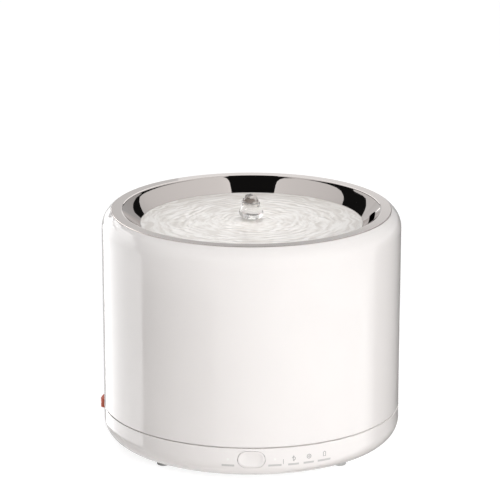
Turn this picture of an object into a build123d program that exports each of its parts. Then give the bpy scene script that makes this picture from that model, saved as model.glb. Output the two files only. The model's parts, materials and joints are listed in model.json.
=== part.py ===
from build123d import *
import math
import os

# Cordless pet water fountain: a battery base, a lift-off water tank, a pump driven through
# the tank's floor, a filter basket and cartridge, and a polished steel drinking tray.
# Sizes are in millimetres. z = 0 is the floor, the axis of the drum is Z, the front is -Y.

os.makedirs("parts", exist_ok=True)

# ---------------------------------------------------------------------------------------
# Clearances and small shared sizes
# ---------------------------------------------------------------------------------------
edge_round = 0.5  # the soft edge on moulded shells
slip = 0.2  # between pieces that slide or drop into place
close_fit = 0.05  # between a shaft or a screw and its hole
cut_over = 1.0  # how far a cut runs past the face it opens
screw_angles = (30.0, 150.0, 210.0, 330.0)

# ---------------------------------------------------------------------------------------
# Outer form
# ---------------------------------------------------------------------------------------
drum_radius = 97.5  # the base, and the tank's lower edge
base_height = 21.2
base_corner = 12.7  # round from the base's side to its underside
base_wall = 2.4
seam_gap = 0.6  # shadow line between the base and the tank

foot_drop = 3.3  # how far the feet stand out under the base
foot_radius = 4.2
foot_pocket = 1.2
foot_inset = 16.5  # from the drum's side to the middle of each foot
foot_round = 0.8

tank_side = 119.7  # height of the tank's straight side
tank_draft = 0.5  # growth of its radius from the lower edge to the shoulder
tank_wall = 3.0
tank_floor = 3.0
shoulder_radius = 14.0
shoulder_turn = 55.4  # degrees that the shoulder turns before the lip
under_turn = 39.9  # degrees up the shoulder, inside, where the rim's underside begins

base_bottom_z = foot_drop
base_top_z = base_bottom_z + base_height
base_inner = drum_radius - base_wall
base_floor_z = base_bottom_z + base_wall
tank_bottom_z = base_top_z + seam_gap
shoulder_z = tank_bottom_z + tank_side
skirt_inner = drum_radius - tank_wall
foot_circle = drum_radius - foot_inset
tank_top_radius = drum_radius + tank_draft
shoulder_centre = tank_top_radius - shoulder_radius
lip_radius = shoulder_centre + shoulder_radius * math.cos(math.radians(shoulder_turn))
lip_z = shoulder_z + shoulder_radius * math.sin(math.radians(shoulder_turn))

# ---------------------------------------------------------------------------------------
# Steel tray and its spout
# ---------------------------------------------------------------------------------------
tray_sheet = 0.8
tray_gap = 0.45  # from the tray's edge to the tank's lip
tray_proud = 0.4  # the tray's flange above the tank's lip
flange_width = 7.0
tray_depth = 12.8
tray_slope = 36.6  # degrees from level, over the whole of the wall
tray_bowl = 12.0  # degrees by which the wall flattens from its top to its foot
tray_brow = 1.6  # round from the flange to the slope
tray_bend = 5.0  # round from the slope to the floor
ledge_width = 5.95  # the tank's ledge under the flange
rim_depth = 2.7

return_slot_length = 22.0
return_slot_width = 5.0
return_slot_angle = -5.0  # degrees from +X, towards the front
return_slot_down = 7.5  # along the slope from the flange

tray_top_z = lip_z + tray_proud
ledge_z = tray_top_z - tray_sheet
mouth_radius = lip_radius - ledge_width
tray_radius = lip_radius - tray_gap
slope_radius = tray_radius - flange_width
tray_floor_z = tray_top_z - tray_depth
tray_floor_radius = slope_radius - tray_depth / math.tan(math.radians(tray_slope))
tray_under_z = tray_floor_z - tray_sheet
tray_wall = tray_depth / math.sin(math.radians(tray_slope))
tray_sag = tray_wall / 2 * math.tan(math.radians(tray_bowl / 4))

riser_bore = 2.8
riser_wall = 1.4
riser_radius = riser_bore + riser_wall
riser_overlap = 6.5  # length of the riser inside the spout

sleeve_wall = 1.85
sleeve_clear = 0.35
sleeve_bore = riser_radius + sleeve_clear
sleeve_radius = sleeve_bore + sleeve_wall
sleeve_length = 12.0  # under the tray
spout_flange_radius = 10.0
spout_flange = 1.5
seal_thickness = 0.6
seal_neck = 0.45  # the seal's wall inside the tray's hole
nozzle_height = 5.0
nozzle_radius = 3.9
nozzle_bore = 2.6
nozzle_seat = 4.6  # the solid length between the sleeve's bore and the tray's underside
nut_thickness = 4.0
nut_radius = 11.0

seal_top_z = tray_floor_z + seal_thickness
spout_flange_z = seal_top_z + spout_flange
nozzle_z = spout_flange_z + nozzle_height
sleeve_bottom_z = tray_under_z - sleeve_length
sleeve_seat_z = tray_under_z - nozzle_seat
riser_top_z = sleeve_bottom_z + riser_overlap
tray_hole = sleeve_radius + close_fit + seal_neck

# ---------------------------------------------------------------------------------------
# Base: deck, gasket, screws, coil
# ---------------------------------------------------------------------------------------
plinth_clear = 0.6  # between the plinth and the tank's skirt
plinth_height = 13.5  # above the base's top edge
plinth_round = 2.0
deck_wall = 2.4
deck_flange = 1.4
deck_foot_width = 4.7
gasket_thickness = 0.8
gasket_width = 3.0
gasket_inset = 0.3
shelf_width = 5.1
shelf_lip = 1.0

boss_radius = 4.5
boss_inset = 19.9  # from the plinth's side to each screw
boss_height = 9.3
deck_boss_radius = 4.0
screw_radius = 1.45
screw_length = 16.0
screw_head_radius = 2.8
screw_head = 2.2
screw_recess = 5.0
cross_length = 3.4  # of the driver's cross in each screw's head
cross_width = 0.8
cross_depth = 1.3
pilot_depth = 12.0

coil_outer = 24.0
coil_inner = 8.0
coil_thickness = 2.4
ferrite_margin = 1.0  # of each ferrite disc round its coil
ferrite_thickness = 1.2
carrier_thickness = 1.4
carrier_hole = 6.0
carrier_rib = 2.0
coil_ring_wall = 1.5
ring_mark_radius = 36.0
ring_mark_width = 1.6
ring_mark_depth = 0.6

plinth_radius = skirt_inner - plinth_clear
boss_circle = plinth_radius - boss_inset
deck_top_z = base_top_z + plinth_height
deck_under_z = deck_top_z - deck_wall
deck_flange_radius = base_inner - slip
deck_foot_z = base_top_z - deck_flange
shelf_z = deck_foot_z - gasket_thickness
shelf_radius = base_inner - shelf_width
boss_top_z = base_floor_z + boss_height
screw_seat_z = base_bottom_z + screw_recess
ferrite_radius = coil_outer + ferrite_margin
coil_top_z = deck_under_z
ferrite_top_z = coil_top_z - coil_thickness
carrier_top_z = ferrite_top_z - ferrite_thickness
carrier_bottom_z = carrier_top_z - carrier_thickness
coil_ring_inner = ferrite_radius + slip

# ---------------------------------------------------------------------------------------
# Mode button, lights and control board, at the front
# ---------------------------------------------------------------------------------------
front = -90.0  # degrees from +X
light_z = 17.0
light_angles = {
    "mode_left": front - 8.7,
    "mode_right": front + 8.7,
    "water": front + 16.1,
    "filter": front + 22.2,
    "battery": front + 28.7,
}
light_radius = 1.8
light_skin = 0.9  # wall left in front of each light guide
light_collar = 0.8
light_collar_length = 1.2
led_depth = 3.0
led_width = 3.4
led_height = 2.8
led_gap = 0.2

board_thickness = 1.6
board_clear = 4.0  # between the board's outer edge and the base's shelf
board_width = 24.0
board_half_angle = 40.0
post_radius = 2.6
post_inset = 4.0
stake_radius = 1.0
stake_height = 0.9

button_width = 17.4
button_height = 11.0
button_z = 17.0
button_gap = 0.3
button_back = 2.3  # thickness of the cap at its middle
button_travel = 0.8
button_dish = 1.3  # depth of the dish
button_rim = 0.5  # flat edge round the dish
stem_radius = 2.2
stem_length = 6.2

switch_width = 6.2
switch_height = 4.8
switch_depth = 4.0
switch_overhang = 0.5
plunger_radius = 1.6
plunger_engaged = 2.0

board_outer = shelf_radius - board_clear
board_inner = board_outer - board_width
board_top_z = light_z - led_height / 2
board_bottom_z = board_top_z - board_thickness
stem_z = board_top_z + switch_height / 2
cap_back_y = -(drum_radius - button_back)
stem_end_y = cap_back_y + stem_length
switch_front_y = -(board_outer + switch_overhang)

# ---------------------------------------------------------------------------------------
# Charging socket and its cover, at the left, a little behind the middle
# ---------------------------------------------------------------------------------------
port_angle = 170.0
port_z = 18.6
port_width = 12.0
port_height = 6.4
socket_width = 9.0
socket_height = 3.2
socket_depth = 7.4
socket_wall = 0.35
socket_inset = 3.7  # its mouth inside the drum's surface
tongue_thickness = 0.7
tongue_setback = 1.0
power_board_setback = 1.5  # from the socket's mouth
power_board_length = 38.0
power_board_width = 28.0

cover_lip_width = 16.0
cover_lip_height = 8.4
cover_lip = 1.3
cover_plug = 3.3
tab_width = 12.0
tab_height = 5.9
tab_reach = 4.0  # out from the drum's surface
tab_round = 3.0
tab_groove = 1.1
tab_groove_depth = 0.5

socket_mouth = drum_radius - socket_inset
power_board_end = socket_mouth - power_board_setback
power_board_top_z = port_z - socket_height / 2
power_board_bottom_z = power_board_top_z - board_thickness

# ---------------------------------------------------------------------------------------
# Battery
# ---------------------------------------------------------------------------------------
cell_radius = 9.15
cell_length = 65.0
cell_pitch = 20.0
cell_tip_radius = 2.8
cell_tip = 0.9
cell_groove = 0.35
cell_inset = 49.1  # from the base's inner side to the middle of the pair
cradle_margin = 2.8
cradle_floor = 2.0
cradle_height = 8.3
cradle_end_height = 14.3

cell_y = base_inner - cell_inset
cell_z = base_floor_z + cradle_floor + cell_radius

# ---------------------------------------------------------------------------------------
# Inside the tank: pump seat, basket ribs and level float
# ---------------------------------------------------------------------------------------
rib_count = 4
rib_thickness = 3.0
rib_reach = 12.5
rib_lip = 2.0
rib_over = 1.0  # length of each rib that is trimmed off along the tank's wall
rib_drop = 21.6  # fall of its underside from the tip to the wall
basket_drop = 28.6  # from the tray's flange to the ribs
seat_wall = 2.0
seat_height = 3.0

float_inset = 26.5  # from the tank's inner side to the float's post
float_radius = 8.5
float_height = 9.0
float_round = 1.5
float_travel = 12.0
float_bore_clear = 0.4
float_post_radius = 1.7
float_foot_radius = 8.0
float_foot = 1.5
float_stop_radius = 5.0
float_stop = 1.5
float_stop_grip = 4.0
magnet_radius = 1.8
magnet_height = 2.0
magnet_offset = 5.2
sensor_size = (8.0, 6.0, 3.0)

tank_floor_z = deck_top_z + tank_floor
rib_top_z = tray_top_z - basket_drop
rib_inner = skirt_inner - rib_reach
float_circle = skirt_inner - float_inset
float_bottom_z = tank_floor_z + float_foot
float_stop_z = float_bottom_z + float_height + float_travel + slip

# ---------------------------------------------------------------------------------------
# Pump: wireless receiver, motor, impeller and riser
# ---------------------------------------------------------------------------------------
receiver_radius = 30.5
receiver_height = 11.0
receiver_wall = 1.8
receiver_round = 2.0
receiver_coil_inner = 10.0
receiver_coil_inset = 2.0  # from the board's edge to the coil's
receiver_board_clear = 2.7  # between the board's edge and the receiver's wall

pump_radius = 15.5
pump_axis_y = -8.5
pump_axis_up = 17.5  # above the receiver
chamber_radius = 13.0
chamber_half = 5.0
motor_length = 25.0  # behind the chamber
pump_wall = 2.0
well_wall = 1.2
rotor_gap = 0.8
magnet_wheel_radius = 5.6
magnet_wheel_length = 20.5
shaft_radius = 1.25
shaft_seat = 1.2
hub_radius = 2.9
hub_sleeve = 2.4
impeller_radius = 11.0
impeller_disc = 1.2
impeller_clear = 0.6
blade_count = 6
blade_thickness = 1.2
blade_curve = 8.0
cover_thickness = 2.5
cover_hub_radius = 3.0
inlet_count = 6
inlet_radius = 1.9
inlet_circle = 6.6
outlet_radius = 7.0
outlet_height = 16.5  # above the pump's axis
spigot_radius = 4.8
spigot_bore = 2.9
spigot_height = 10.0
riser_cup_wall = 1.3
riser_cup_clear = 0.1
riser_cup_roof = 1.4
seal_ring_section = 0.45
seal_ring_down = 3.0  # from the riser's top
seal_groove_height = 1.3
seal_groove_depth = 0.65

stator_length = 12.0
stator_poles = 6
stator_yoke = 2.5
stator_tooth = 3.0
tooth_sink = 1.0  # of each tooth into the yoke
stator_clear = 0.2
winding_side = 0.95
winding_depth = 2.0

receiver_board_radius = receiver_radius - receiver_wall - receiver_board_clear
receiver_coil_outer = receiver_board_radius - receiver_coil_inset
cap_top_z = tank_floor_z + receiver_wall
receiver_coil_top_z = cap_top_z + coil_thickness
receiver_ferrite_top_z = receiver_coil_top_z + ferrite_thickness
receiver_top_z = tank_floor_z + receiver_height
pump_axis_z = receiver_top_z + pump_axis_up
outlet_z = pump_axis_z + outlet_height
spigot_top_z = outlet_z + spigot_height
motor_x = -chamber_half - motor_length
well_radius = magnet_wheel_radius + rotor_gap
tube_radius = well_radius + well_wall
cavity_radius = pump_radius - pump_wall
well_bottom_x = -chamber_half - rotor_gap - magnet_wheel_length
stator_x = (motor_x - chamber_half) / 2
riser_cup_inner = spigot_radius + riser_cup_clear
riser_cup_radius = riser_cup_inner + riser_cup_wall
riser_cup_top_z = spigot_top_z + riser_cup_clear + riser_cup_roof

# ---------------------------------------------------------------------------------------
# Filter basket and cartridge
# ---------------------------------------------------------------------------------------
basket_clear = 0.8  # between the basket's rim and the tank's mouth
basket_rim = 1.8
basket_rim_width = 4.2
basket_wall = 1.6
basket_radius = 66.6
basket_depth = 19.6
basket_funnel = 3.8
basket_slots = 20
slot_root = 17.0  # from the basket's sleeve to the inner end of each slot
slot_margin = 8.6  # from the outer end of each slot to the basket's side
basket_slot_width = 2.6
basket_sleeve_clear = 1.0
basket_sleeve_wall = 1.8
basket_sleeve_height = 18.0

case_clear = 0.8
case_wall = 1.2
case_height = 14.0
case_slots = 16
case_slot_width = 3.0
media_clear = 0.2
carbon_height = 8.0
lid_thickness = 1.4

basket_rim_radius = mouth_radius - basket_clear
basket_rim_top_z = rib_top_z + basket_rim
basket_bottom_z = rib_top_z - basket_depth
basket_floor_z = basket_bottom_z + basket_wall
basket_sleeve_inner = riser_radius + basket_sleeve_clear
basket_sleeve_radius = basket_sleeve_inner + basket_sleeve_wall
slot_inner = basket_sleeve_radius + slot_root
slot_outer = basket_radius - slot_margin
case_radius = basket_radius - basket_wall - case_clear
case_bore = basket_sleeve_radius + case_clear
case_floor_z = basket_floor_z + case_wall
case_top_z = basket_floor_z + case_height
media_outer = case_radius - case_wall - media_clear
media_inner = case_bore + case_wall + media_clear
carbon_top_z = case_floor_z + carbon_height


def radial_plane(angle):
    """An upright plane through the drum's axis: local x points outwards, local y points up."""
    a = math.radians(angle)
    return Plane(
        origin=(0, 0, 0),
        x_dir=(math.cos(a), math.sin(a), 0),
        z_dir=(math.sin(a), -math.cos(a), 0),
    )


def wall_plane(angle, radius, z):
    """A plane that faces outwards at a point of the drum's wall: local x is level, local y points up."""
    a = math.radians(angle)
    return Plane(
        origin=(radius * math.cos(a), radius * math.sin(a), z),
        x_dir=(-math.sin(a), math.cos(a), 0),
        z_dir=(math.cos(a), math.sin(a), 0),
    )


def polar_plane(angle, radius, z):
    """A level plane whose origin is at a point round the drum's axis, with local x pointing outwards."""
    a = math.radians(angle)
    return Plane(
        origin=(radius * math.cos(a), radius * math.sin(a), z),
        x_dir=(math.cos(a), math.sin(a), 0),
        z_dir=(0, 0, 1),
    )


def pump_plane(x):
    """A plane across the pump's axis: local x runs along +Y, local y points up, and it faces +X."""
    return Plane(origin=(x, pump_axis_y, pump_axis_z), x_dir=(0, 1, 0), z_dir=(1, 0, 0))


def write(name, part):
    """Labels a finished piece and writes it as one STEP file."""
    part.label = name
    export_step(part, "parts/" + name + ".step")


# ---------------------------------------------------------------------------------------
# Base
# ---------------------------------------------------------------------------------------
corner_centre = (drum_radius - base_corner, base_bottom_z + base_corner)
inner_corner = base_corner - base_wall

# The drum's outer form, which the button's cap is cut from so that it lies flush.
with BuildPart() as base_form:
    with BuildSketch(Plane.XZ):
        with BuildLine():
            form_top = Line((0, base_top_z), (drum_radius, base_top_z))
            Line(form_top @ 1, (drum_radius, corner_centre[1]))
            form_arc = CenterArc(corner_centre, base_corner, 0, -90)
            form_floor = Line(form_arc @ 1, (0, base_bottom_z))
            Line(form_floor @ 1, form_top @ 0)
        make_face()
    revolve(axis=Axis.Z)

with BuildPart() as base_shell:
    with BuildSketch(Plane.XZ):
        with BuildLine():
            shell_arc = CenterArc(corner_centre, base_corner, -90, 90)
            Polyline(
                shell_arc @ 1,
                (drum_radius, base_top_z),
                (base_inner, base_top_z),
                (base_inner, shelf_z),
                (shelf_radius, shelf_z),
                (shelf_radius, shelf_z - shelf_lip),
                (base_inner, shelf_z - shelf_lip - shelf_width),
                (base_inner, corner_centre[1]),
            )
            inner_arc = CenterArc(corner_centre, inner_corner, 0, -90)
            Polyline(inner_arc @ 1, (0, base_floor_z), (0, base_bottom_z), shell_arc @ 0)
        make_face()
    revolve(axis=Axis.Z)
    top_edges = base_shell.edges().filter_by(GeomType.CIRCLE).group_by(Axis.Z)[-1]
    fillet(top_edges.sort_by(SortBy.RADIUS)[-1], radius=edge_round)
    # Columns that take the screws of the deck, and posts that carry the two boards.
    for angle in screw_angles:
        with BuildSketch(polar_plane(angle, boss_circle, base_floor_z)):
            Circle(boss_radius)
        extrude(amount=boss_height)
        with BuildSketch(polar_plane(angle, boss_circle, base_bottom_z)):
            Circle(screw_radius + slip)
        extrude(amount=boss_height + base_wall, mode=Mode.SUBTRACT)
        with BuildSketch(polar_plane(angle, boss_circle, base_bottom_z)):
            Circle(screw_head_radius + slip)
        extrude(amount=screw_recess, mode=Mode.SUBTRACT)
    board_posts = [
        (front + side * (board_half_angle - post_inset), radius)
        for side in (-1, 1)
        for radius in (board_inner + post_inset, board_outer - post_inset)
    ]
    for angle, radius in board_posts:
        with BuildSketch(polar_plane(angle, radius, base_floor_z)):
            Circle(post_radius)
        extrude(amount=board_bottom_z - base_floor_z)
        with BuildSketch(polar_plane(angle, radius, board_bottom_z)):
            Circle(stake_radius)
        extrude(amount=board_thickness + stake_height)
    power_posts = [
        (power_board_end - power_board_length + post_inset, side * (power_board_width / 2 - post_inset))
        for side in (-1, 1)
    ] + [
        (socket_mouth - socket_depth - post_inset, side * (power_board_width / 2 - post_inset))
        for side in (-1, 1)
    ]
    for out, across in power_posts:
        with BuildSketch(polar_plane(port_angle, 0, base_floor_z)):
            with Locations((out, across)):
                Circle(post_radius)
        extrude(amount=power_board_bottom_z - base_floor_z)
        with BuildSketch(polar_plane(port_angle, 0, power_board_bottom_z)):
            with Locations((out, across)):
                Circle(stake_radius)
        extrude(amount=board_thickness + stake_height)
    # Window for the mode button, and the passage of its stem.
    with BuildSketch(wall_plane(front, -cap_back_y - button_travel - slip, button_z)):
        SlotOverall(button_width + 2 * button_gap, button_height + 2 * button_gap)
    extrude(amount=button_back + button_travel + cut_over, mode=Mode.SUBTRACT)
    with BuildSketch(wall_plane(front, shelf_radius - cut_over, stem_z)):
        Circle(stem_radius + button_gap)
    extrude(amount=shelf_width + cut_over, mode=Mode.SUBTRACT)
    # Blind bores behind the indicator lights.
    for angle in light_angles.values():
        with BuildSketch(wall_plane(angle, shelf_radius - cut_over, light_z)):
            Circle(light_radius + slip / 2)
        extrude(amount=drum_radius - light_skin - shelf_radius + cut_over, mode=Mode.SUBTRACT)
    # Opening in front of the charging socket.
    with BuildSketch(wall_plane(port_angle, socket_mouth - socket_depth - cut_over, port_z)):
        SlotOverall(port_width, port_height)
    extrude(amount=socket_depth + socket_inset + 2 * cut_over, mode=Mode.SUBTRACT)
    # Pockets for the feet.
    with BuildSketch(Plane.XY.offset(base_bottom_z)):
        with PolarLocations(foot_circle, 4, start_angle=45):
            Circle(foot_radius + slip / 2)
    extrude(amount=foot_pocket, mode=Mode.SUBTRACT)
write("base_shell", base_shell.part)

for index, name in enumerate(("rear_right", "rear_left", "front_left", "front_right")):
    with BuildPart() as foot:
        with BuildSketch(polar_plane(45 + 90 * index, foot_circle, 0)):
            Circle(foot_radius)
        extrude(amount=foot_drop + foot_pocket)
        fillet(foot.edges().group_by(Axis.Z)[0], radius=foot_round)
    write("foot_" + name, foot.part)

with BuildPart() as base_gasket:
    with BuildSketch(Plane.XY.offset(shelf_z)):
        Circle(shelf_radius + gasket_inset + gasket_width)
        Circle(shelf_radius + gasket_inset, mode=Mode.SUBTRACT)
    extrude(amount=gasket_thickness)
write("base_gasket", base_gasket.part)

with BuildPart() as base_deck:
    with BuildSketch(Plane.XZ):
        with BuildLine():
            Polyline(
                (0, deck_top_z),
                (plinth_radius, deck_top_z),
                (plinth_radius, base_top_z),
                (deck_flange_radius, base_top_z),
                (deck_flange_radius, deck_foot_z),
                (deck_flange_radius - deck_foot_width, deck_foot_z),
                (deck_flange_radius - deck_foot_width, base_top_z),
                (plinth_radius - deck_wall, base_top_z + deck_wall),
                (plinth_radius - deck_wall, deck_under_z),
                (0, deck_under_z),
                close=True,
            )
        make_face()
    revolve(axis=Axis.Z)
    rim_edges = base_deck.edges().filter_by(GeomType.CIRCLE).group_by(Axis.Z)[-1]
    fillet(rim_edges.sort_by(SortBy.RADIUS)[-1], radius=plinth_round)
    for angle in screw_angles:
        with BuildSketch(polar_plane(angle, boss_circle, boss_top_z)):
            Circle(deck_boss_radius)
        extrude(amount=deck_under_z - boss_top_z)
        with BuildSketch(polar_plane(angle, boss_circle, boss_top_z)):
            Circle(screw_radius + close_fit)
        extrude(amount=pilot_depth, mode=Mode.SUBTRACT)
    # Ring that holds the drive coil under the deck, and the ring that marks it above.
    with BuildSketch(Plane.XY.offset(carrier_bottom_z)):
        Circle(coil_ring_inner + coil_ring_wall)
        Circle(coil_ring_inner, mode=Mode.SUBTRACT)
    extrude(amount=deck_under_z - carrier_bottom_z)
    with BuildSketch(Plane.XY.offset(deck_top_z)):
        Circle(ring_mark_radius)
        Circle(ring_mark_radius - ring_mark_width, mode=Mode.SUBTRACT)
    extrude(amount=-ring_mark_depth, mode=Mode.SUBTRACT)
write("base_deck", base_deck.part)

with BuildPart() as base_screws:
    for angle in screw_angles:
        with BuildSketch(polar_plane(angle, boss_circle, screw_seat_z - screw_head)):
            Circle(screw_head_radius)
        extrude(amount=screw_head)
        with BuildSketch(polar_plane(angle, boss_circle, screw_seat_z - screw_head)):
            Rectangle(cross_length, cross_width)
            Rectangle(cross_width, cross_length)
        extrude(amount=cross_depth, mode=Mode.SUBTRACT)
        with BuildSketch(polar_plane(angle, boss_circle, screw_seat_z)):
            Circle(screw_radius)
        extrude(amount=screw_length)
write("base_screws", base_screws.part)

with BuildPart() as drive_coil:
    with BuildSketch(Plane.XY.offset(ferrite_top_z)):
        Circle(coil_outer)
        Circle(coil_inner, mode=Mode.SUBTRACT)
    extrude(amount=coil_thickness)
write("drive_coil", drive_coil.part)

with BuildPart() as coil_ferrite:
    with BuildSketch(Plane.XY.offset(carrier_top_z)):
        Circle(ferrite_radius)
    extrude(amount=ferrite_thickness)
write("coil_ferrite", coil_ferrite.part)

with BuildPart() as coil_carrier:
    with BuildSketch(Plane.XY.offset(carrier_bottom_z)):
        Circle(ferrite_radius)
        Circle(carrier_hole, mode=Mode.SUBTRACT)
    extrude(amount=carrier_thickness)
    with BuildSketch(Plane.XY.offset(carrier_bottom_z)):
        with PolarLocations((ferrite_radius + carrier_hole) / 2, 6):
            Rectangle(ferrite_radius - carrier_hole, carrier_rib)
    extrude(amount=-carrier_rib)
write("coil_carrier", coil_carrier.part)

# ---------------------------------------------------------------------------------------
# Control board, switch, lamps and light guides
# ---------------------------------------------------------------------------------------
with BuildPart() as control_board:
    with BuildSketch(Plane.XY.offset(board_bottom_z)):
        with BuildLine():
            outer_arc = CenterArc((0, 0), board_outer, front - board_half_angle, 2 * board_half_angle)
            near_arc = CenterArc((0, 0), board_inner, front + board_half_angle, -2 * board_half_angle)
            Line(outer_arc @ 1, near_arc @ 0)
            Line(near_arc @ 1, outer_arc @ 0)
        make_face()
    extrude(amount=board_thickness)
    for angle, radius in board_posts:
        with BuildSketch(polar_plane(angle, radius, board_bottom_z)):
            Circle(stake_radius + slip / 2)
        extrude(amount=board_thickness, mode=Mode.SUBTRACT)
write("control_board", control_board.part)

with BuildPart() as mode_switch:
    with BuildSketch(wall_plane(front, -switch_front_y, stem_z)):
        Rectangle(switch_width, switch_height)
    extrude(amount=-switch_depth)
    with BuildSketch(wall_plane(front, -switch_front_y, stem_z)):
        Circle(plunger_radius + slip / 2)
    extrude(amount=-(plunger_engaged + button_travel + slip), mode=Mode.SUBTRACT)
write("mode_switch", mode_switch.part)

with BuildPart() as switch_plunger:
    with BuildSketch(wall_plane(front, -stem_end_y, stem_z)):
        Circle(plunger_radius)
    extrude(amount=-(switch_front_y - stem_end_y + plunger_engaged))
write("switch_plunger", switch_plunger.part)

with BuildPart() as indicator_leds:
    for angle in light_angles.values():
        with BuildSketch(wall_plane(angle, board_outer - led_gap, light_z)):
            Rectangle(led_width, led_height)
        extrude(amount=-led_depth)
write("indicator_leds", indicator_leds.part)

for name, angle in light_angles.items():
    with BuildPart() as light_guide:
        with BuildSketch(wall_plane(angle, board_outer, light_z)):
            Circle(light_radius)
        extrude(amount=drum_radius - light_skin - slip - board_outer)
        with BuildSketch(wall_plane(angle, board_outer, light_z)):
            Circle(light_radius + light_collar)
        extrude(amount=light_collar_length)
    write("light_guide_" + name, light_guide.part)

dish_half = button_height / 2 - button_rim
dish_radius = (dish_half**2 + button_dish**2) / (2 * button_dish)
dish_y = -(drum_radius + dish_radius - button_dish)
dish_reach = (button_width - button_height) / 2

# A long form, round at both ends, that presses the fingertip's shallow dish into the cap.
with BuildPart() as dish_tool:
    with BuildSketch(Plane.XY.offset(button_z)):
        with BuildLine():
            dish_left = CenterArc((-dish_reach, dish_y), dish_radius, 180, 90)
            dish_right = CenterArc((dish_reach, dish_y), dish_radius, -90, 90)
            Line(dish_left @ 1, dish_right @ 0)
            Line(dish_right @ 1, dish_left @ 0)
        make_face()
    revolve(axis=Axis((0, dish_y, button_z), (1, 0, 0)))

with BuildPart() as mode_button:
    with BuildSketch(wall_plane(front, -cap_back_y, button_z)):
        SlotOverall(button_width, button_height)
    extrude(amount=button_back + cut_over)
    add(base_form.part, mode=Mode.INTERSECT)
    add(dish_tool.part, mode=Mode.SUBTRACT)
    with BuildSketch(wall_plane(front, -stem_end_y, stem_z)):
        Circle(stem_radius)
    extrude(amount=stem_length)
write("mode_button", mode_button.part)

# ---------------------------------------------------------------------------------------
# Charging socket, power board and cover
# ---------------------------------------------------------------------------------------
with BuildPart() as power_board:
    with BuildSketch(polar_plane(port_angle, 0, power_board_bottom_z)):
        with Locations((power_board_end - power_board_length / 2, 0)):
            Rectangle(power_board_length, power_board_width)
        with Locations(*power_posts):
            Circle(stake_radius + slip / 2, mode=Mode.SUBTRACT)
    extrude(amount=board_thickness)
write("power_board", power_board.part)

with BuildPart() as charging_socket:
    with BuildSketch(wall_plane(port_angle, socket_mouth, port_z)):
        SlotOverall(socket_width, socket_height)
    extrude(amount=-socket_depth)
    with BuildSketch(wall_plane(port_angle, socket_mouth, port_z)):
        SlotOverall(socket_width - 2 * socket_wall, socket_height - 2 * socket_wall)
    extrude(amount=-(socket_depth - socket_wall), mode=Mode.SUBTRACT)
    with BuildSketch(wall_plane(port_angle, socket_mouth - socket_depth, port_z)):
        Rectangle(socket_width - socket_height, tongue_thickness)
    extrude(amount=socket_depth - tongue_setback)
write("charging_socket", charging_socket.part)

with BuildPart() as port_cover:
    with BuildSketch(wall_plane(port_angle, drum_radius - cover_plug, port_z)):
        SlotOverall(cover_lip_width, cover_lip_height)
    extrude(amount=cover_plug + 2 * cover_lip)
    with BuildSketch(Plane.XY):
        Circle(drum_radius + cover_lip)
    extrude(amount=base_top_z, mode=Mode.INTERSECT)
    with BuildSketch(Plane.XY):
        Circle(drum_radius + close_fit)
    extrude(amount=base_top_z, mode=Mode.SUBTRACT)
    with BuildSketch(wall_plane(port_angle, drum_radius - cover_plug, port_z)):
        SlotOverall(port_width - 2 * slip, port_height - 2 * slip)
    extrude(amount=cover_plug + cover_lip / 2)
    # Finger tab, rounded in plan.
    tab_root = drum_radius + cover_lip / 2
    tab_length = tab_reach - cover_lip / 2
    with BuildSketch(polar_plane(port_angle, tab_root, port_z - tab_height / 2)) as tab_plan:
        with Locations((tab_length / 2, 0)):
            Rectangle(tab_length, tab_width)
        fillet(tab_plan.vertices().sort_by(Axis.X)[-2:], radius=tab_round)
    extrude(amount=tab_height)
    # Finger groove along the tab's outer face.
    groove_axis = drum_radius + tab_reach + tab_groove - tab_groove_depth
    with Locations(wall_plane(port_angle, groove_axis, port_z)):
        Cylinder(tab_groove, 2 * tab_width, rotation=(0, 90, 0), mode=Mode.SUBTRACT)
write("port_cover", port_cover.part)

# ---------------------------------------------------------------------------------------
# Battery
# ---------------------------------------------------------------------------------------
cradle_length = cell_length + 2 * (cradle_margin + slip)
cradle_width = 2 * cell_pitch + 2 * cradle_margin
with BuildPart() as battery_cradle:
    with BuildSketch(Plane.XY.offset(base_floor_z)):
        with Locations((0, cell_y)):
            RectangleRounded(cradle_length, cradle_width, cradle_margin)
    extrude(amount=cradle_end_height)
    with BuildSketch(Plane.XY.offset(base_floor_z + cradle_height)):
        with Locations((0, cell_y)):
            Rectangle(cell_length + 2 * slip, 2 * cradle_width)
    extrude(amount=cradle_end_height, mode=Mode.SUBTRACT)
    with BuildSketch(Plane.YZ.offset(-(cell_length / 2 + slip))):
        with Locations((cell_y - cell_pitch / 2, cell_z), (cell_y + cell_pitch / 2, cell_z)):
            Circle(cell_radius + slip / 2)
    extrude(amount=cell_length + 2 * slip, mode=Mode.SUBTRACT)
write("battery_cradle", battery_cradle.part)

for name, side in (("front", -1), ("rear", 1)):
    with BuildPart() as cell:
        with BuildSketch(Plane.YZ.offset(-cell_length / 2)):
            with Locations((cell_y + side * cell_pitch / 2, cell_z)):
                Circle(cell_radius)
        extrude(amount=cell_length - cell_tip)
        fillet(cell.edges().filter_by(GeomType.CIRCLE), radius=cell_groove)
        with BuildSketch(Plane.YZ.offset(cell_length / 2 - cell_tip)):
            with Locations((cell_y + side * cell_pitch / 2, cell_z)):
                Circle(cell_tip_radius)
        extrude(amount=cell_tip)
    write("battery_cell_" + name, cell.part)

with BuildPart() as level_sensor:
    with BuildSketch(Plane.XY.offset(deck_under_z)):
        with Locations((0, float_circle)):
            Rectangle(sensor_size[0], sensor_size[1])
    extrude(amount=-sensor_size[2])
write("level_sensor", level_sensor.part)

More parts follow.
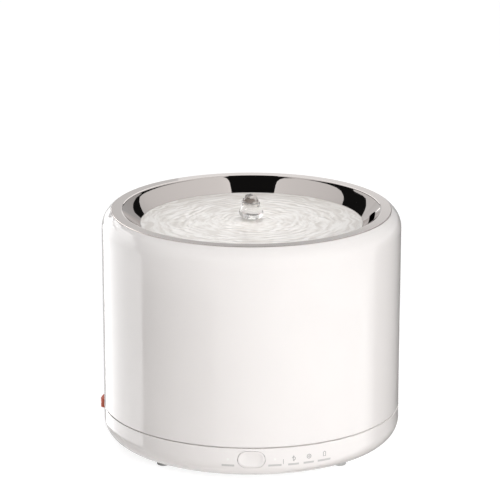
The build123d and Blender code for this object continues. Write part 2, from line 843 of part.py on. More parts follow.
# ---------------------------------------------------------------------------------------
# Tank
# ---------------------------------------------------------------------------------------
inner_shoulder = shoulder_radius - tank_wall
with BuildPart() as tank_shell:
    with BuildSketch(Plane.XZ):
        with BuildLine():
            outer_side = Line((drum_radius, tank_bottom_z), (tank_top_radius, shoulder_z))
            turn_centre = (shoulder_centre, shoulder_z)
            outer_shoulder = CenterArc(turn_centre, shoulder_radius, 0, shoulder_turn)
            under_shoulder = CenterArc(turn_centre, inner_shoulder, under_turn, -under_turn)
            Polyline(
                outer_shoulder @ 1,
                (lip_radius, ledge_z),
                (mouth_radius, ledge_z),
                (mouth_radius, ledge_z - rim_depth),
                under_shoulder @ 0,
            )
            Polyline(
                under_shoulder @ 1,
                (skirt_inner, tank_floor_z),
                (skirt_inner, tank_bottom_z),
                outer_side @ 0,
            )
        make_face()
    revolve(axis=Axis.Z)
    foot_edges = tank_shell.edges().filter_by(GeomType.CIRCLE).group_by(Axis.Z)[0]
    fillet(foot_edges.sort_by(SortBy.RADIUS)[-1], radius=edge_round)
write("tank_shell", tank_shell.part)

# Floor plate, welded into the shell, with the seat that the receiver drops into.
with BuildPart() as tank_base:
    with BuildSketch(Plane.XY.offset(deck_top_z)):
        Circle(skirt_inner - close_fit)
    extrude(amount=tank_floor)
    with BuildSketch(Plane.XY.offset(tank_floor_z)):
        Circle(receiver_radius + 2 * slip + seat_wall)
        Circle(receiver_radius + 2 * slip, mode=Mode.SUBTRACT)
    extrude(amount=seat_height)
write("tank_floor", tank_base.part)

# Ribs that carry the filter basket, each sloping back into the wall.
rib_foot_z = rib_top_z - rib_lip - rib_drop
with BuildPart() as tank_ribs:
    for index in range(rib_count):
        with BuildSketch(radial_plane(45 + index * 360 / rib_count)):
            with BuildLine():
                Polyline(
                    (skirt_inner + rib_over, rib_top_z),
                    (rib_inner, rib_top_z),
                    (rib_inner, rib_top_z - rib_lip),
                    (skirt_inner + rib_over, rib_foot_z),
                    close=True,
                )
            make_face()
        extrude(amount=rib_thickness / 2, both=True)
    add(tank_shell.part, mode=Mode.SUBTRACT)
write("tank_ribs", tank_ribs.part)

with BuildPart() as float_post:
    with BuildSketch(polar_plane(90, float_circle, tank_floor_z)):
        Circle(float_foot_radius)
    extrude(amount=float_foot)
    with BuildSketch(polar_plane(90, float_circle, float_bottom_z)):
        Circle(float_post_radius)
    extrude(amount=float_stop_z + float_stop_grip - float_bottom_z)
write("float_post", float_post.part)

with BuildPart() as float_stop_cap:
    with BuildSketch(polar_plane(90, float_circle, float_stop_z)):
        Circle(float_stop_radius)
    extrude(amount=float_stop)
    with BuildSketch(polar_plane(90, float_circle, float_stop_z)):
        Circle(float_post_radius + float_stop)
    extrude(amount=float_stop_grip + float_stop)
    with BuildSketch(polar_plane(90, float_circle, float_stop_z)):
        Circle(float_post_radius + close_fit)
    extrude(amount=float_stop_grip + close_fit, mode=Mode.SUBTRACT)
write("float_stop_cap", float_stop_cap.part)

with BuildPart() as level_float:
    with BuildSketch(polar_plane(90, float_circle, float_bottom_z)):
        Circle(float_radius)
    extrude(amount=float_height)
    fillet(level_float.edges().filter_by(GeomType.CIRCLE), radius=float_round)
    with BuildSketch(polar_plane(90, float_circle, float_bottom_z)):
        Circle(float_post_radius + float_bore_clear)
    extrude(amount=float_height, mode=Mode.SUBTRACT)
    with BuildSketch(polar_plane(90, float_circle, float_bottom_z)):
        with Locations((magnet_offset, 0)):
            Circle(magnet_radius + close_fit)
    extrude(amount=magnet_height + close_fit, mode=Mode.SUBTRACT)
write("level_float", level_float.part)

with BuildPart() as float_magnet:
    with BuildSketch(polar_plane(90, float_circle, float_bottom_z + close_fit)):
        with Locations((magnet_offset, 0)):
            Circle(magnet_radius)
    extrude(amount=magnet_height)
write("float_magnet", float_magnet.part)

# ---------------------------------------------------------------------------------------
# Pump
# ---------------------------------------------------------------------------------------
with BuildPart() as receiver_cap:
    with BuildSketch(Plane.XY.offset(tank_floor_z)):
        Circle(receiver_radius)
    extrude(amount=receiver_wall)
    fillet(receiver_cap.edges().group_by(Axis.Z)[0], radius=edge_round)
write("receiver_cap", receiver_cap.part)

with BuildPart() as receiver_coil:
    with BuildSketch(Plane.XY.offset(cap_top_z)):
        Circle(receiver_coil_outer)
        Circle(receiver_coil_inner, mode=Mode.SUBTRACT)
    extrude(amount=coil_thickness)
write("receiver_coil", receiver_coil.part)

with BuildPart() as receiver_ferrite:
    with BuildSketch(Plane.XY.offset(receiver_coil_top_z)):
        Circle(receiver_coil_outer + ferrite_margin)
    extrude(amount=ferrite_thickness)
write("receiver_ferrite", receiver_ferrite.part)

with BuildPart() as receiver_board:
    with BuildSketch(Plane.XY.offset(receiver_ferrite_top_z)):
        Circle(receiver_board_radius)
    extrude(amount=board_thickness)
write("receiver_board", receiver_board.part)

with BuildPart() as receiver_housing:
    with BuildSketch(Plane.XY.offset(cap_top_z)):
        Circle(receiver_radius)
    extrude(amount=receiver_top_z - cap_top_z)
    fillet(receiver_housing.edges().group_by(Axis.Z)[-1], radius=receiver_round)
    with BuildSketch(Plane.XY.offset(cap_top_z)):
        Circle(receiver_radius - receiver_wall)
    extrude(amount=receiver_top_z - cap_top_z - receiver_wall, mode=Mode.SUBTRACT)
write("receiver_housing", receiver_housing.part)


def pump_outline(grow=0.0):
    """Draws the pump's outline across its axis: a round top on straight sides down to the receiver."""
    Circle(pump_radius + grow)
    with Locations((0, -pump_axis_up / 2)):
        Rectangle(2 * (pump_radius + grow), pump_axis_up)


with BuildPart() as pump_housing:
    with BuildSketch(pump_plane(motor_x)):
        pump_outline()
    extrude(amount=chamber_half - motor_x)
    with BuildSketch(Plane.XY.offset(pump_axis_z)):
        Circle(outlet_radius)
    extrude(amount=outlet_height)
    with BuildSketch(Plane.XY.offset(outlet_z)):
        Circle(spigot_radius)
    extrude(amount=spigot_height)
    # Flat seat for the cover, where the outlet's boss stands further forward.
    with BuildSketch(pump_plane(chamber_half)):
        pump_outline(slip)
    extrude(amount=outlet_radius, mode=Mode.SUBTRACT)
    # Chamber for the impeller, open to the front.
    with BuildSketch(pump_plane(-chamber_half)):
        Circle(chamber_radius)
    extrude(amount=2 * chamber_half, mode=Mode.SUBTRACT)
    with BuildSketch(Plane.XY.offset(pump_axis_z)):
        Circle(spigot_bore)
    extrude(amount=spigot_top_z - pump_axis_z, mode=Mode.SUBTRACT)
    # Dry space for the stator, open to the back, round the wet well of the rotor.
    with BuildSketch(pump_plane(motor_x)):
        Circle(cavity_radius)
        Circle(tube_radius, mode=Mode.SUBTRACT)
    extrude(amount=motor_length - pump_wall, mode=Mode.SUBTRACT)
    with BuildSketch(pump_plane(motor_x)):
        Circle(tube_radius)
    extrude(amount=well_bottom_x - pump_wall - motor_x, mode=Mode.SUBTRACT)
    with BuildSketch(pump_plane(well_bottom_x)):
        Circle(well_radius)
    extrude(amount=-chamber_half - well_bottom_x, mode=Mode.SUBTRACT)
    with BuildSketch(pump_plane(well_bottom_x)):
        Circle(shaft_radius + close_fit)
    extrude(amount=-shaft_seat, mode=Mode.SUBTRACT)
write("pump_housing", pump_housing.part)

with BuildPart() as pump_back_plate:
    with BuildSketch(pump_plane(motor_x)):
        pump_outline()
    extrude(amount=-pump_wall)
write("pump_back_plate", pump_back_plate.part)

with BuildPart() as pump_cover:
    with BuildSketch(pump_plane(chamber_half)):
        pump_outline()
    extrude(amount=cover_thickness)
    with BuildSketch(pump_plane(chamber_half)):
        Circle(cover_hub_radius)
    extrude(amount=-impeller_clear / 2)
    with BuildSketch(pump_plane(chamber_half - impeller_clear / 2)):
        Circle(shaft_radius + close_fit)
    extrude(amount=shaft_seat + impeller_clear / 2, mode=Mode.SUBTRACT)
    with BuildSketch(pump_plane(chamber_half)):
        with PolarLocations(inlet_circle, inlet_count):
            Circle(inlet_radius)
    extrude(amount=cover_thickness, mode=Mode.SUBTRACT)
write("pump_cover", pump_cover.part)

shaft_back_x = well_bottom_x - shaft_seat + close_fit
with BuildPart() as impeller_shaft:
    with BuildSketch(pump_plane(shaft_back_x)):
        Circle(shaft_radius)
    extrude(amount=chamber_half + shaft_seat - close_fit - shaft_back_x)
write("impeller_shaft", impeller_shaft.part)

disc_x = -chamber_half + impeller_clear
hub_front_x = chamber_half - impeller_clear
sleeve_back_x = disc_x - magnet_wheel_length
with BuildPart() as impeller:
    with BuildSketch(pump_plane(disc_x)):
        Circle(impeller_radius)
    extrude(amount=impeller_disc)
    with BuildSketch(pump_plane(disc_x)):
        Circle(hub_radius)
    extrude(amount=hub_front_x - disc_x)
    with BuildSketch(pump_plane(sleeve_back_x)):
        Circle(hub_sleeve)
    extrude(amount=magnet_wheel_length)
    # Blades that sweep back from the hub to the disc's edge, each an arc of one circle.
    for index in range(blade_count):
        turn = 360 * index / blade_count
        along = (math.cos(math.radians(turn)), math.sin(math.radians(turn)))
        with BuildSketch(pump_plane(disc_x)):
            with Locations((-blade_curve * along[1], blade_curve * along[0])):
                Circle(blade_curve + blade_thickness / 2)
                Circle(blade_curve - blade_thickness / 2, mode=Mode.SUBTRACT)
            Circle(impeller_radius, mode=Mode.INTERSECT)
            with Locations((-impeller_radius * along[0], -impeller_radius * along[1])):
                Rectangle(2 * impeller_radius, 4 * impeller_radius, rotation=turn, mode=Mode.SUBTRACT)
        extrude(amount=hub_front_x - disc_x - impeller_clear)
    with BuildSketch(pump_plane(sleeve_back_x)):
        Circle(shaft_radius + close_fit)
    extrude(amount=hub_front_x - sleeve_back_x, mode=Mode.SUBTRACT)
write("impeller", impeller.part)

with BuildPart() as rotor_magnet:
    with BuildSketch(pump_plane(sleeve_back_x)):
        Circle(magnet_wheel_radius)
        Circle(hub_sleeve + close_fit, mode=Mode.SUBTRACT)
    extrude(amount=magnet_wheel_length - close_fit)
write("rotor_magnet", rotor_magnet.part)

stator_outer = cavity_radius - stator_clear
stator_bore = tube_radius + stator_clear
yoke_inner = stator_outer - stator_yoke
with BuildPart() as stator_core:
    with BuildSketch(pump_plane(stator_x - stator_length / 2)):
        Circle(stator_outer)
        Circle(yoke_inner, mode=Mode.SUBTRACT)
        with PolarLocations((stator_bore + yoke_inner + tooth_sink) / 2, stator_poles):
            Rectangle(yoke_inner + tooth_sink - stator_bore, stator_tooth)
        Circle(stator_bore, mode=Mode.SUBTRACT)
    extrude(amount=stator_length)
write("stator_core", stator_core.part)

winding_out = math.sqrt(yoke_inner**2 - (stator_tooth / 2 + winding_side) ** 2) - slip
with BuildPart() as stator_coils:
    for index in range(stator_poles):
        spoke = math.radians(360 * index / stator_poles)
        pole = Plane(
            origin=(
                stator_x,
                pump_axis_y + (winding_out - winding_depth) * math.cos(spoke),
                pump_axis_z + (winding_out - winding_depth) * math.sin(spoke),
            ),
            x_dir=(1, 0, 0),
            z_dir=(0, math.cos(spoke), math.sin(spoke)),
        )
        with BuildSketch(pole):
            Rectangle(stator_length + 2 * winding_side, stator_tooth + 2 * winding_side)
            Rectangle(stator_length + close_fit, stator_tooth + close_fit, mode=Mode.SUBTRACT)
        extrude(amount=winding_depth)
write("stator_coils", stator_coils.part)

with BuildPart() as riser_tube:
    with BuildSketch(Plane.XZ):
        with BuildLine():
            Polyline(
                (riser_cup_inner, outlet_z),
                (riser_cup_radius, outlet_z),
                (riser_cup_radius, riser_cup_top_z - riser_cup_roof),
                (riser_radius, riser_cup_top_z),
                (riser_radius, riser_top_z),
                (riser_bore, riser_top_z),
                (riser_bore, spigot_top_z + riser_cup_clear),
                (riser_cup_inner, spigot_top_z + riser_cup_clear),
                close=True,
            )
        make_face()
    revolve(axis=Axis.Z)
    with BuildSketch(Plane.XY.offset(riser_top_z - seal_ring_down - seal_groove_height / 2)):
        Circle(riser_radius + cut_over)
        Circle(riser_radius - seal_groove_depth, mode=Mode.SUBTRACT)
    extrude(amount=seal_groove_height, mode=Mode.SUBTRACT)
write("riser_tube", riser_tube.part)

with BuildPart() as riser_seal:
    with Locations((0, 0, riser_top_z - seal_ring_down)):
        Torus(riser_radius - seal_groove_depth + seal_ring_section + close_fit / 2, seal_ring_section)
write("riser_seal", riser_seal.part)

# ---------------------------------------------------------------------------------------
# Filter basket and cartridge
# ---------------------------------------------------------------------------------------
funnel_top = basket_rim_radius - basket_rim_width
with BuildPart() as filter_basket:
    with BuildSketch(Plane.XZ):
        with BuildLine():
            Polyline(
                (basket_rim_radius, basket_rim_top_z),
                (funnel_top, basket_rim_top_z),
                (basket_radius - basket_wall, basket_rim_top_z - basket_funnel),
                (basket_radius - basket_wall, basket_floor_z),
                (basket_sleeve_radius, basket_floor_z),
                (basket_sleeve_radius, basket_bottom_z + basket_sleeve_height),
                (basket_sleeve_inner, basket_bottom_z + basket_sleeve_height),
                (basket_sleeve_inner, basket_bottom_z),
                (basket_radius, basket_bottom_z),
                (basket_radius, rib_top_z - basket_funnel),
                (funnel_top, rib_top_z),
                (basket_rim_radius, rib_top_z),
                close=True,
            )
        make_face()
    revolve(axis=Axis.Z)
    with BuildSketch(Plane.XY.offset(basket_bottom_z)):
        with PolarLocations((slot_inner + slot_outer) / 2, basket_slots):
            Rectangle(slot_outer - slot_inner, basket_slot_width)
    extrude(amount=basket_wall, mode=Mode.SUBTRACT)
write("filter_basket", filter_basket.part)

with BuildPart() as filter_case:
    with BuildSketch(Plane.XY.offset(basket_floor_z)):
        Circle(case_radius)
        Circle(case_bore, mode=Mode.SUBTRACT)
    extrude(amount=case_height)
    with BuildSketch(Plane.XY.offset(case_floor_z)):
        Circle(case_radius - case_wall)
        Circle(case_bore + case_wall, mode=Mode.SUBTRACT)
    extrude(amount=case_height, mode=Mode.SUBTRACT)
    with BuildSketch(Plane.XY.offset(basket_floor_z)):
        with PolarLocations((slot_inner + slot_outer) / 2, case_slots):
            Rectangle(slot_outer - slot_inner, case_slot_width)
    extrude(amount=case_wall, mode=Mode.SUBTRACT)
write("filter_case", filter_case.part)

with BuildPart() as filter_carbon:
    with BuildSketch(Plane.XY.offset(case_floor_z)):
        Circle(media_outer)
        Circle(media_inner, mode=Mode.SUBTRACT)
    extrude(amount=carbon_height)
write("filter_carbon", filter_carbon.part)

with BuildPart() as filter_pad:
    with BuildSketch(Plane.XY.offset(carbon_top_z)):
        Circle(media_outer)
        Circle(media_inner, mode=Mode.SUBTRACT)
    extrude(amount=case_top_z - carbon_top_z)
write("filter_pad", filter_pad.part)

with BuildPart() as filter_lid:
    with BuildSketch(Plane.XY.offset(case_top_z)):
        Circle(case_radius)
        Circle(case_bore, mode=Mode.SUBTRACT)
        with PolarLocations((slot_inner + slot_outer) / 2, case_slots):
            Rectangle(slot_outer - slot_inner, case_slot_width, mode=Mode.SUBTRACT)
    extrude(amount=lid_thickness)
write("filter_lid", filter_lid.part)

# ---------------------------------------------------------------------------------------
# Steel tray and spout
# ---------------------------------------------------------------------------------------
slot_radius = slope_radius - return_slot_down * math.cos(math.radians(tray_slope))
slot_low = return_slot_down * math.sin(math.radians(tray_slope))
with BuildPart() as steel_tray:
    with BuildSketch(Plane.XZ):
        with BuildLine() as tray_line:
            flange_line = Line((tray_radius, tray_top_z), (slope_radius, tray_top_z))
            wall_arc = SagittaArc(flange_line @ 1, (tray_floor_radius, tray_floor_z), tray_sag)
            Line(wall_arc @ 1, (tray_hole, tray_floor_z))
            outwards = tray_line.vertices().sort_by(Axis.X)
            fillet(outwards[-2], radius=tray_brow)
            fillet(outwards[1], radius=tray_bend)
            offset(amount=tray_sheet, side=Side.LEFT)
        make_face()
    revolve(axis=Axis.Z)
    # Return slot through the sloping wall.
    slot_turn = math.radians(return_slot_angle)
    out_x, out_y = math.cos(slot_turn), math.sin(slot_turn)
    lean = math.radians(tray_slope)
    slot_plane = Plane(
        origin=(slot_radius * out_x, slot_radius * out_y, tray_top_z - slot_low),
        x_dir=(-out_y, out_x, 0),
        z_dir=(-math.sin(lean) * out_x, -math.sin(lean) * out_y, math.cos(lean)),
    )
    with BuildSketch(slot_plane):
        SlotOverall(return_slot_length, return_slot_width)
    extrude(amount=4 * tray_sheet, both=True, mode=Mode.SUBTRACT)
write("steel_tray", steel_tray.part)

with BuildPart() as spout_seal:
    with BuildSketch(Plane.XZ):
        with BuildLine():
            Polyline(
                (sleeve_radius + close_fit, tray_under_z),
                (tray_hole - close_fit, tray_under_z),
                (tray_hole - close_fit, tray_floor_z),
                (spout_flange_radius, tray_floor_z),
                (spout_flange_radius, seal_top_z),
                (sleeve_radius + close_fit, seal_top_z),
                close=True,
            )
        make_face()
    revolve(axis=Axis.Z)
write("spout_seal", spout_seal.part)

with BuildPart() as spout:
    with BuildSketch(Plane.XZ):
        with BuildLine():
            Polyline(
                (sleeve_bore, sleeve_bottom_z),
                (sleeve_radius, sleeve_bottom_z),
                (sleeve_radius, seal_top_z),
                (spout_flange_radius, seal_top_z),
                (spout_flange_radius, spout_flange_z - spout_flange / 2),
                (sleeve_radius, spout_flange_z),
                (nozzle_radius, nozzle_z),
                (nozzle_bore, nozzle_z),
                (nozzle_bore, sleeve_seat_z + sleeve_bore - nozzle_bore),
                (sleeve_bore, sleeve_seat_z),
                close=True,
            )
        make_face()
    revolve(axis=Axis.Z)
write("spout", spout.part)

with BuildPart() as spout_nut:
    with BuildSketch(Plane.XY.offset(tray_under_z)):
        RegularPolygon(nut_radius, 6)
        Circle(sleeve_radius + close_fit, mode=Mode.SUBTRACT)
    extrude(amount=-nut_thickness)
write("spout_nut", spout_nut.part)
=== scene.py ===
"""Looks of a cordless pet water fountain: finishes, water, printed marks, studio.

Every length is in metres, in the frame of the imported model: z = 0 is the floor, the drum's axis
is Z, and the front is -Y. An azimuth is in degrees from the front, positive towards +X.
"""

import json
import logging
import math
from dataclasses import dataclass, field
from enum import Enum
from functools import cache

import bmesh
import bpy
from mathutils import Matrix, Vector


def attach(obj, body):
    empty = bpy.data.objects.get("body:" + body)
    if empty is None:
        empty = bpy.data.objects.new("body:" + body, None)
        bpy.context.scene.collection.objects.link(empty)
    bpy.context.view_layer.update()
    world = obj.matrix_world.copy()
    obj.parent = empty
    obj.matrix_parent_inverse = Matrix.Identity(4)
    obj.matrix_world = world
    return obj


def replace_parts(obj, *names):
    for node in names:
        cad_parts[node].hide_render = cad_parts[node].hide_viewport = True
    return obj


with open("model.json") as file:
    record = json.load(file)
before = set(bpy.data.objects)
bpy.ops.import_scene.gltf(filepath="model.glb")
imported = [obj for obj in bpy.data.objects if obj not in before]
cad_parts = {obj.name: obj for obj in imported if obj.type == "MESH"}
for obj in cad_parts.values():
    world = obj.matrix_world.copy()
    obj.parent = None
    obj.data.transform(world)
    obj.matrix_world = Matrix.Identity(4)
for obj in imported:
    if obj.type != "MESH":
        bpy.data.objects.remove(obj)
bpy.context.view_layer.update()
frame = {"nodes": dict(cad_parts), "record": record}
MM = 0.001
WELD = 0.0001 * MM  # corners nearer than this become one
FULL_TURN = 2 * math.pi
FADE = "brightness"  # the attribute that carries a card's brightness
SECOND_TONE = 0.7  # brightness of every card where steel mirrors steel
RGB = tuple[float, float, float]
RGBA = tuple[float, float, float, float]
WHITE: RGBA = (1.0, 1.0, 1.0, 1.0)
Pair = tuple[float, float]
Point = tuple[float, float]
Row = tuple[Point, ...]
Socket = bpy.types.NodeSocket
LOG = logging.getLogger("fountain")


# --- Node graphs ---
class Graph:
    """The nodes and links of one material, world or geometry tree."""

    def __init__(self, tree: bpy.types.NodeTree) -> None:
        """Takes the tree and empties it.

        Args:
            tree: the node tree to fill.
        """
        self.tree = tree
        tree.nodes.clear()

    def add(self, kind: str, values: dict | None = None, **settings: object) -> bpy.types.Node:
        """Adds a node, sets its options, and sets or links its inputs.

        Args:
            kind: Blender's type name of the node.
            values: input name or index to a constant, or to the output socket that feeds it.
            settings: the node's own options.

        Returns:
            The new node.
        """
        node = self.tree.nodes.new(kind)
        for name, value in settings.items():
            setattr(node, name, value)
        for key, value in (values or {}).items():
            socket = node.inputs[key]
            if isinstance(value, Socket):
                self.tree.links.new(value, socket)
            else:
                socket.default_value = value
        return node

    def math(self, operation: str, a: object, b: object = 0.0, c: object = 0.0) -> Socket:
        """Adds a Math node and returns its result."""
        return self.add("ShaderNodeMath", {0: a, 1: b, 2: c}, operation=operation).outputs[0]

    def spread(self, factor: object, low: float, high: float, span: Pair = (0.0, 1.0)) -> Socket:
        """Maps a factor's span onto low to high.

        Args:
            factor: the output socket to map.
            low: the result where the factor is at the span's start.
            high: the result where it is at the span's end.
            span: the factor's own start and end.

        Returns:
            The mapped value's socket.
        """
        values = {
            "Value": factor,
            "From Min": span[0],
            "From Max": span[1],
            "To Min": low,
            "To Max": high,
        }
        return self.add("ShaderNodeMapRange", values).outputs[0]

    def share(self, factor: object, low: float, high: float) -> Socket:
        """Returns how far a factor is on its way from low to high, from 0 to 1."""
        return self.spread(factor, 0.0, 1.0, (low, high))

    def noise(self, vector: object, scale: float, detail: float = 2.0) -> Socket:
        """Adds a noise texture and returns its factor."""
        values = {"Vector": vector, "Scale": scale, "Detail": detail}
        return self.add("ShaderNodeTexNoise", values).outputs[0]

    def blend(self, factor: object, first: RGB | Socket, second: RGB) -> Socket:
        """Mixes two colours by a factor and returns the colour's socket."""
        start = first if isinstance(first, Socket) else (*first, 1.0)
        values = {0: factor, 6: start, 7: (*second, 1.0)}
        return self.add("ShaderNodeMix", values, data_type="RGBA").outputs[2]

    def place(self) -> Socket:
        """Returns a material's place in the fountain's frame."""
        return self.add("ShaderNodeTexCoord").outputs["Object"]

    def parts(self, vector: object) -> object:
        """Returns the x, y and z of a vector, as three sockets."""
        return self.add("ShaderNodeSeparateXYZ", {0: vector}).outputs

    def vector(self, x: object = 0.0, y: object = 0.0, z: object = 0.0) -> Socket:
        """Joins x, y and z into a vector and returns its socket."""
        return self.add("ShaderNodeCombineXYZ", {0: x, 1: y, 2: z}).outputs[0]

    def from_axis(self, parts: object) -> Socket:
        """Returns the distance from the drum's axis of a place with the given x and y."""
        squares = [self.math("POWER", parts[i], 2.0) for i in range(2)]
        return self.math("SQRT", self.math("ADD", *squares))

    def bump(self, height: object, distance: float, strength: float = 1.0) -> Socket:
        """Turns a height into a bent normal and returns its socket."""
        values = {"Strength": strength, "Distance": distance, "Height": height}
        return self.add("ShaderNodeBump", values).outputs[0]

    def surface(self, shader: bpy.types.Node) -> None:
        """Ends a material's graph with a shader."""
        self.add("ShaderNodeOutputMaterial", {"Surface": shader.outputs[0]})


def blank_material(name: str) -> tuple[bpy.types.Material, Graph]:
    """Makes a material with an empty graph, and returns both."""
    made = bpy.data.materials.new(name)
    made.use_nodes = True
    return made, Graph(made.node_tree)


# --- Finishes ---
class Surface(Enum):
    """The kind of surface that a finish has, which sets its pattern."""

    MOULDED = "moulded plastic, with the faint waviness of a polished tool"
    SATIN = "moulded plastic from a spark-eroded tool"
    SILICONE = "soft rubber with fine dust and a dull skin"
    POLISHED = "steel, spun and buffed to a mirror"
    DRAWN = "plain drawn or turned metal"
    WOUND = "enamelled wire in close turns round the drum's axis"
    PRESSED = "a stack of thin sheets"
    SINTERED = "pressed and fired powder"
    BOARD = "a circuit board with its tracks under the mask"
    FIBRE = "felted fibre"
    GRANULES = "a bed of loose granules"
    CLEAR = "clear moulded plastic"
    PRINT = "printed ink"


BROAD_SCALE = 14.0  # of the noise that varies a whole piece
DUST_SCALE = 420.0  # of the dust on soft rubber
TRACK_SCALE = 260.0  # of a circuit board's tracks


@dataclass(frozen=True)
class Finish:
    """One material of the fountain.

    Attributes:
        name: the material's name.
        tone: its colour.
        surface: the kind of surface, which picks the pattern.
        roughness: the roughness at the middle of its range.
        metallic: 1 for bare metal.
        coat: weight of a clear gloss on top.
        grain: size of the pattern's finest feature, in millimetres.
        relief: height of the pattern, in millimetres.
        coat_roughness: roughness of the clear gloss.
    """

    name: str
    tone: RGB
    surface: Surface
    roughness: float
    metallic: float = 0.0
    coat: float = 0.0
    grain: float = 0.6
    relief: float = 0.01
    coat_roughness: float = 0.04

    def shade(self, share: float) -> RGB:
        """Returns the tone times a share."""
        return tuple(min(1.0, channel * share) for channel in self.tone)

    def mottle(self, graph: Graph, factor: Socket, span: Pair, dark: float, light: float) -> Socket:
        """Colours a pattern with two shades of the tone.

        Args:
            graph: the material's graph.
            factor: the pattern's value.
            span: the values at which the darker and the lighter shade are reached.
            dark: the darker shade's share of the tone.
            light: the lighter shade's share of it.

        Returns:
            The colour's socket.
        """
        return graph.blend(graph.share(factor, *span), self.shade(dark), self.shade(light))

    @cache
    def material(self) -> bpy.types.Material:
        """Builds the material once, and gives the same one from then on.

        Returns:
            The Blender material.
        """
        made, graph = blank_material(f"{self.name}_finish")
        colour, rough, height = self.pattern(graph, graph.place())
        values = {
            "Base Color": colour,
            "Roughness": rough,
            "Metallic": self.metallic,
            "Coat Weight": self.coat,
            "Coat Roughness": self.coat_roughness,
            "Normal": graph.bump(height, self.relief * MM),
        }
        if self.surface is Surface.CLEAR:
            values |= {"Transmission Weight": 0.85, "IOR": 1.49}
        if self.surface is Surface.FIBRE:
            values["Sheen Weight"] = 0.4
        graph.surface(graph.add("ShaderNodeBsdfPrincipled", values))
        made.diffuse_color = (*self.tone, 1.0)
        return made

    def pattern(self, graph: Graph, place: Socket) -> tuple[Socket, ...]:
        """Builds the pattern of the finish's surface.

        Args:
            graph: the material's graph.
            place: the point's place in the fountain's frame.

        Returns:
            The sockets of colour, roughness and height.
        """
        grain = self.grain * MM
        fine = graph.noise(place, 1.0 / grain, 3.0)
        broad = graph.noise(place, BROAD_SCALE)
        rough = graph.spread(broad, self.roughness * 0.85, self.roughness * 1.15, (0.3, 0.7))
        colour = self.mottle(graph, broad, (0.35, 0.65), 0.985, 1.005)
        if self.surface is Surface.SATIN:
            rough = graph.spread(fine, self.roughness * 0.8, self.roughness * 1.2, (0.3, 0.7))
        elif self.surface is Surface.SILICONE:
            dust = graph.noise(place, DUST_SCALE, 4.0)
            colour = self.mottle(graph, dust, (0.42, 0.68), 0.94, 1.08)
        elif self.surface is Surface.POLISHED:
            fine = graph.noise(self.in_rings(graph, place), 1.0, 2.0)
            rough = graph.spread(fine, self.roughness * 0.7, self.roughness * 1.5, (0.35, 0.65))
        elif self.surface in (Surface.DRAWN, Surface.WOUND):
            fine = graph.noise(self.in_rings(graph, place), 1.0, 1.0)
            colour = self.mottle(graph, fine, (0.0, 1.0), 0.75, 1.1)
        elif self.surface is Surface.PRESSED:
            sheets = graph.math("PINGPONG", graph.parts(place)[0], grain)
            fine = graph.math("DIVIDE", sheets, grain)
            colour = self.mottle(graph, fine, (0.0, 1.0), 0.6, 1.1)
        elif self.surface is Surface.SINTERED:
            colour = self.mottle(graph, fine, (0.4, 0.6), 0.8, 1.25)
        elif self.surface is Surface.BOARD:
            values = {"Vector": place, "Scale": TRACK_SCALE}
            cells = graph.add("ShaderNodeTexVoronoi", values, distance="CHEBYCHEV")
            fine = graph.share(cells.outputs["Distance"], 0.25, 0.35)
            colour = self.mottle(graph, fine, (0.0, 1.0), 0.8, 1.7)
        elif self.surface is Surface.FIBRE:
            colour = self.mottle(graph, fine, (0.35, 0.65), 0.88, 1.04)
        elif self.surface is Surface.GRANULES:
            # Painted light and shade: each granule is lighter at its middle and darker towards its edges,
            # where the granules meet.
            cells = graph.add("ShaderNodeTexVoronoi", {"Vector": place, "Scale": 1.0 / grain})
            fine = graph.math("SUBTRACT", 1.0, cells.outputs["Distance"])
            colour = self.mottle(graph, fine, (0.0, 1.0), 0.4, 2.2)
        return colour, rough, fine

    def in_rings(self, graph: Graph, place: Socket) -> Socket:
        """Turns a place into one on which a noise is drawn out in rings round the drum's axis.

        Args:
            graph: the material's graph.
            place: the point's place in the fountain's frame.

        Returns:
            The new place's socket: the ring, the level and the turn.
        """
        parts = graph.parts(place)
        ring = graph.math("DIVIDE", graph.from_axis(parts), self.grain * MM)
        level = graph.math("DIVIDE", parts[2], self.grain * MM)
        return graph.vector(ring, level, graph.math("ARCTAN2", parts[1], parts[0]))


WHITE_GLOSS = Finish(
    "white_gloss_plastic", (0.93, 0.895, 0.88), Surface.MOULDED, 0.09, grain=3.0, relief=0.002
)
WHITE_SATIN = Finish("white_satin_plastic", (0.90, 0.90, 0.89), Surface.SATIN, 0.42, grain=0.25)
PUMP_GREY = Finish("pump_grey_plastic", (0.62, 0.64, 0.66), Surface.SATIN, 0.45, grain=0.3)
DARK_PLASTIC = Finish("dark_plastic", (0.06, 0.06, 0.065), Surface.SATIN, 0.5, grain=0.3)
CORAL = Finish("coral_silicone", (0.72, 0.16, 0.09), Surface.SILICONE, 0.55, grain=0.2, relief=0.02)
GREY_SILICONE = Finish("grey_silicone", (0.52, 0.52, 0.51), Surface.SILICONE, 0.6, grain=0.2, relief=0.02)
CLEAR_SILICONE = Finish("pale_silicone", (0.86, 0.87, 0.87), Surface.SILICONE, 0.4, grain=0.3)
POLISHED_STEEL = Finish(
    "polished_steel", (0.66, 0.61, 0.585), Surface.POLISHED, 0.022, 1.0, grain=0.5, relief=0.0002
)
PLAIN_STEEL = Finish("plain_steel", (0.60, 0.60, 0.60), Surface.DRAWN, 0.3, 1.0, grain=0.3, relief=0.005)
COPPER = Finish("copper_wire", (0.80, 0.42, 0.24), Surface.WOUND, 0.35, 1.0, grain=0.4, relief=0.15)
FERRITE = Finish("ferrite", (0.10, 0.10, 0.11), Surface.SINTERED, 0.7, grain=0.3, relief=0.02)
MAGNET = Finish("magnet", (0.22, 0.22, 0.23), Surface.SINTERED, 0.45, 0.6, grain=0.3)
CORE_STEEL = Finish("core_steel", (0.34, 0.34, 0.35), Surface.PRESSED, 0.45, 0.9, grain=0.5, relief=0.05)
BOARD_GREEN = Finish("circuit_board", (0.05, 0.26, 0.14), Surface.BOARD, 0.35, coat=0.3, relief=0.03)
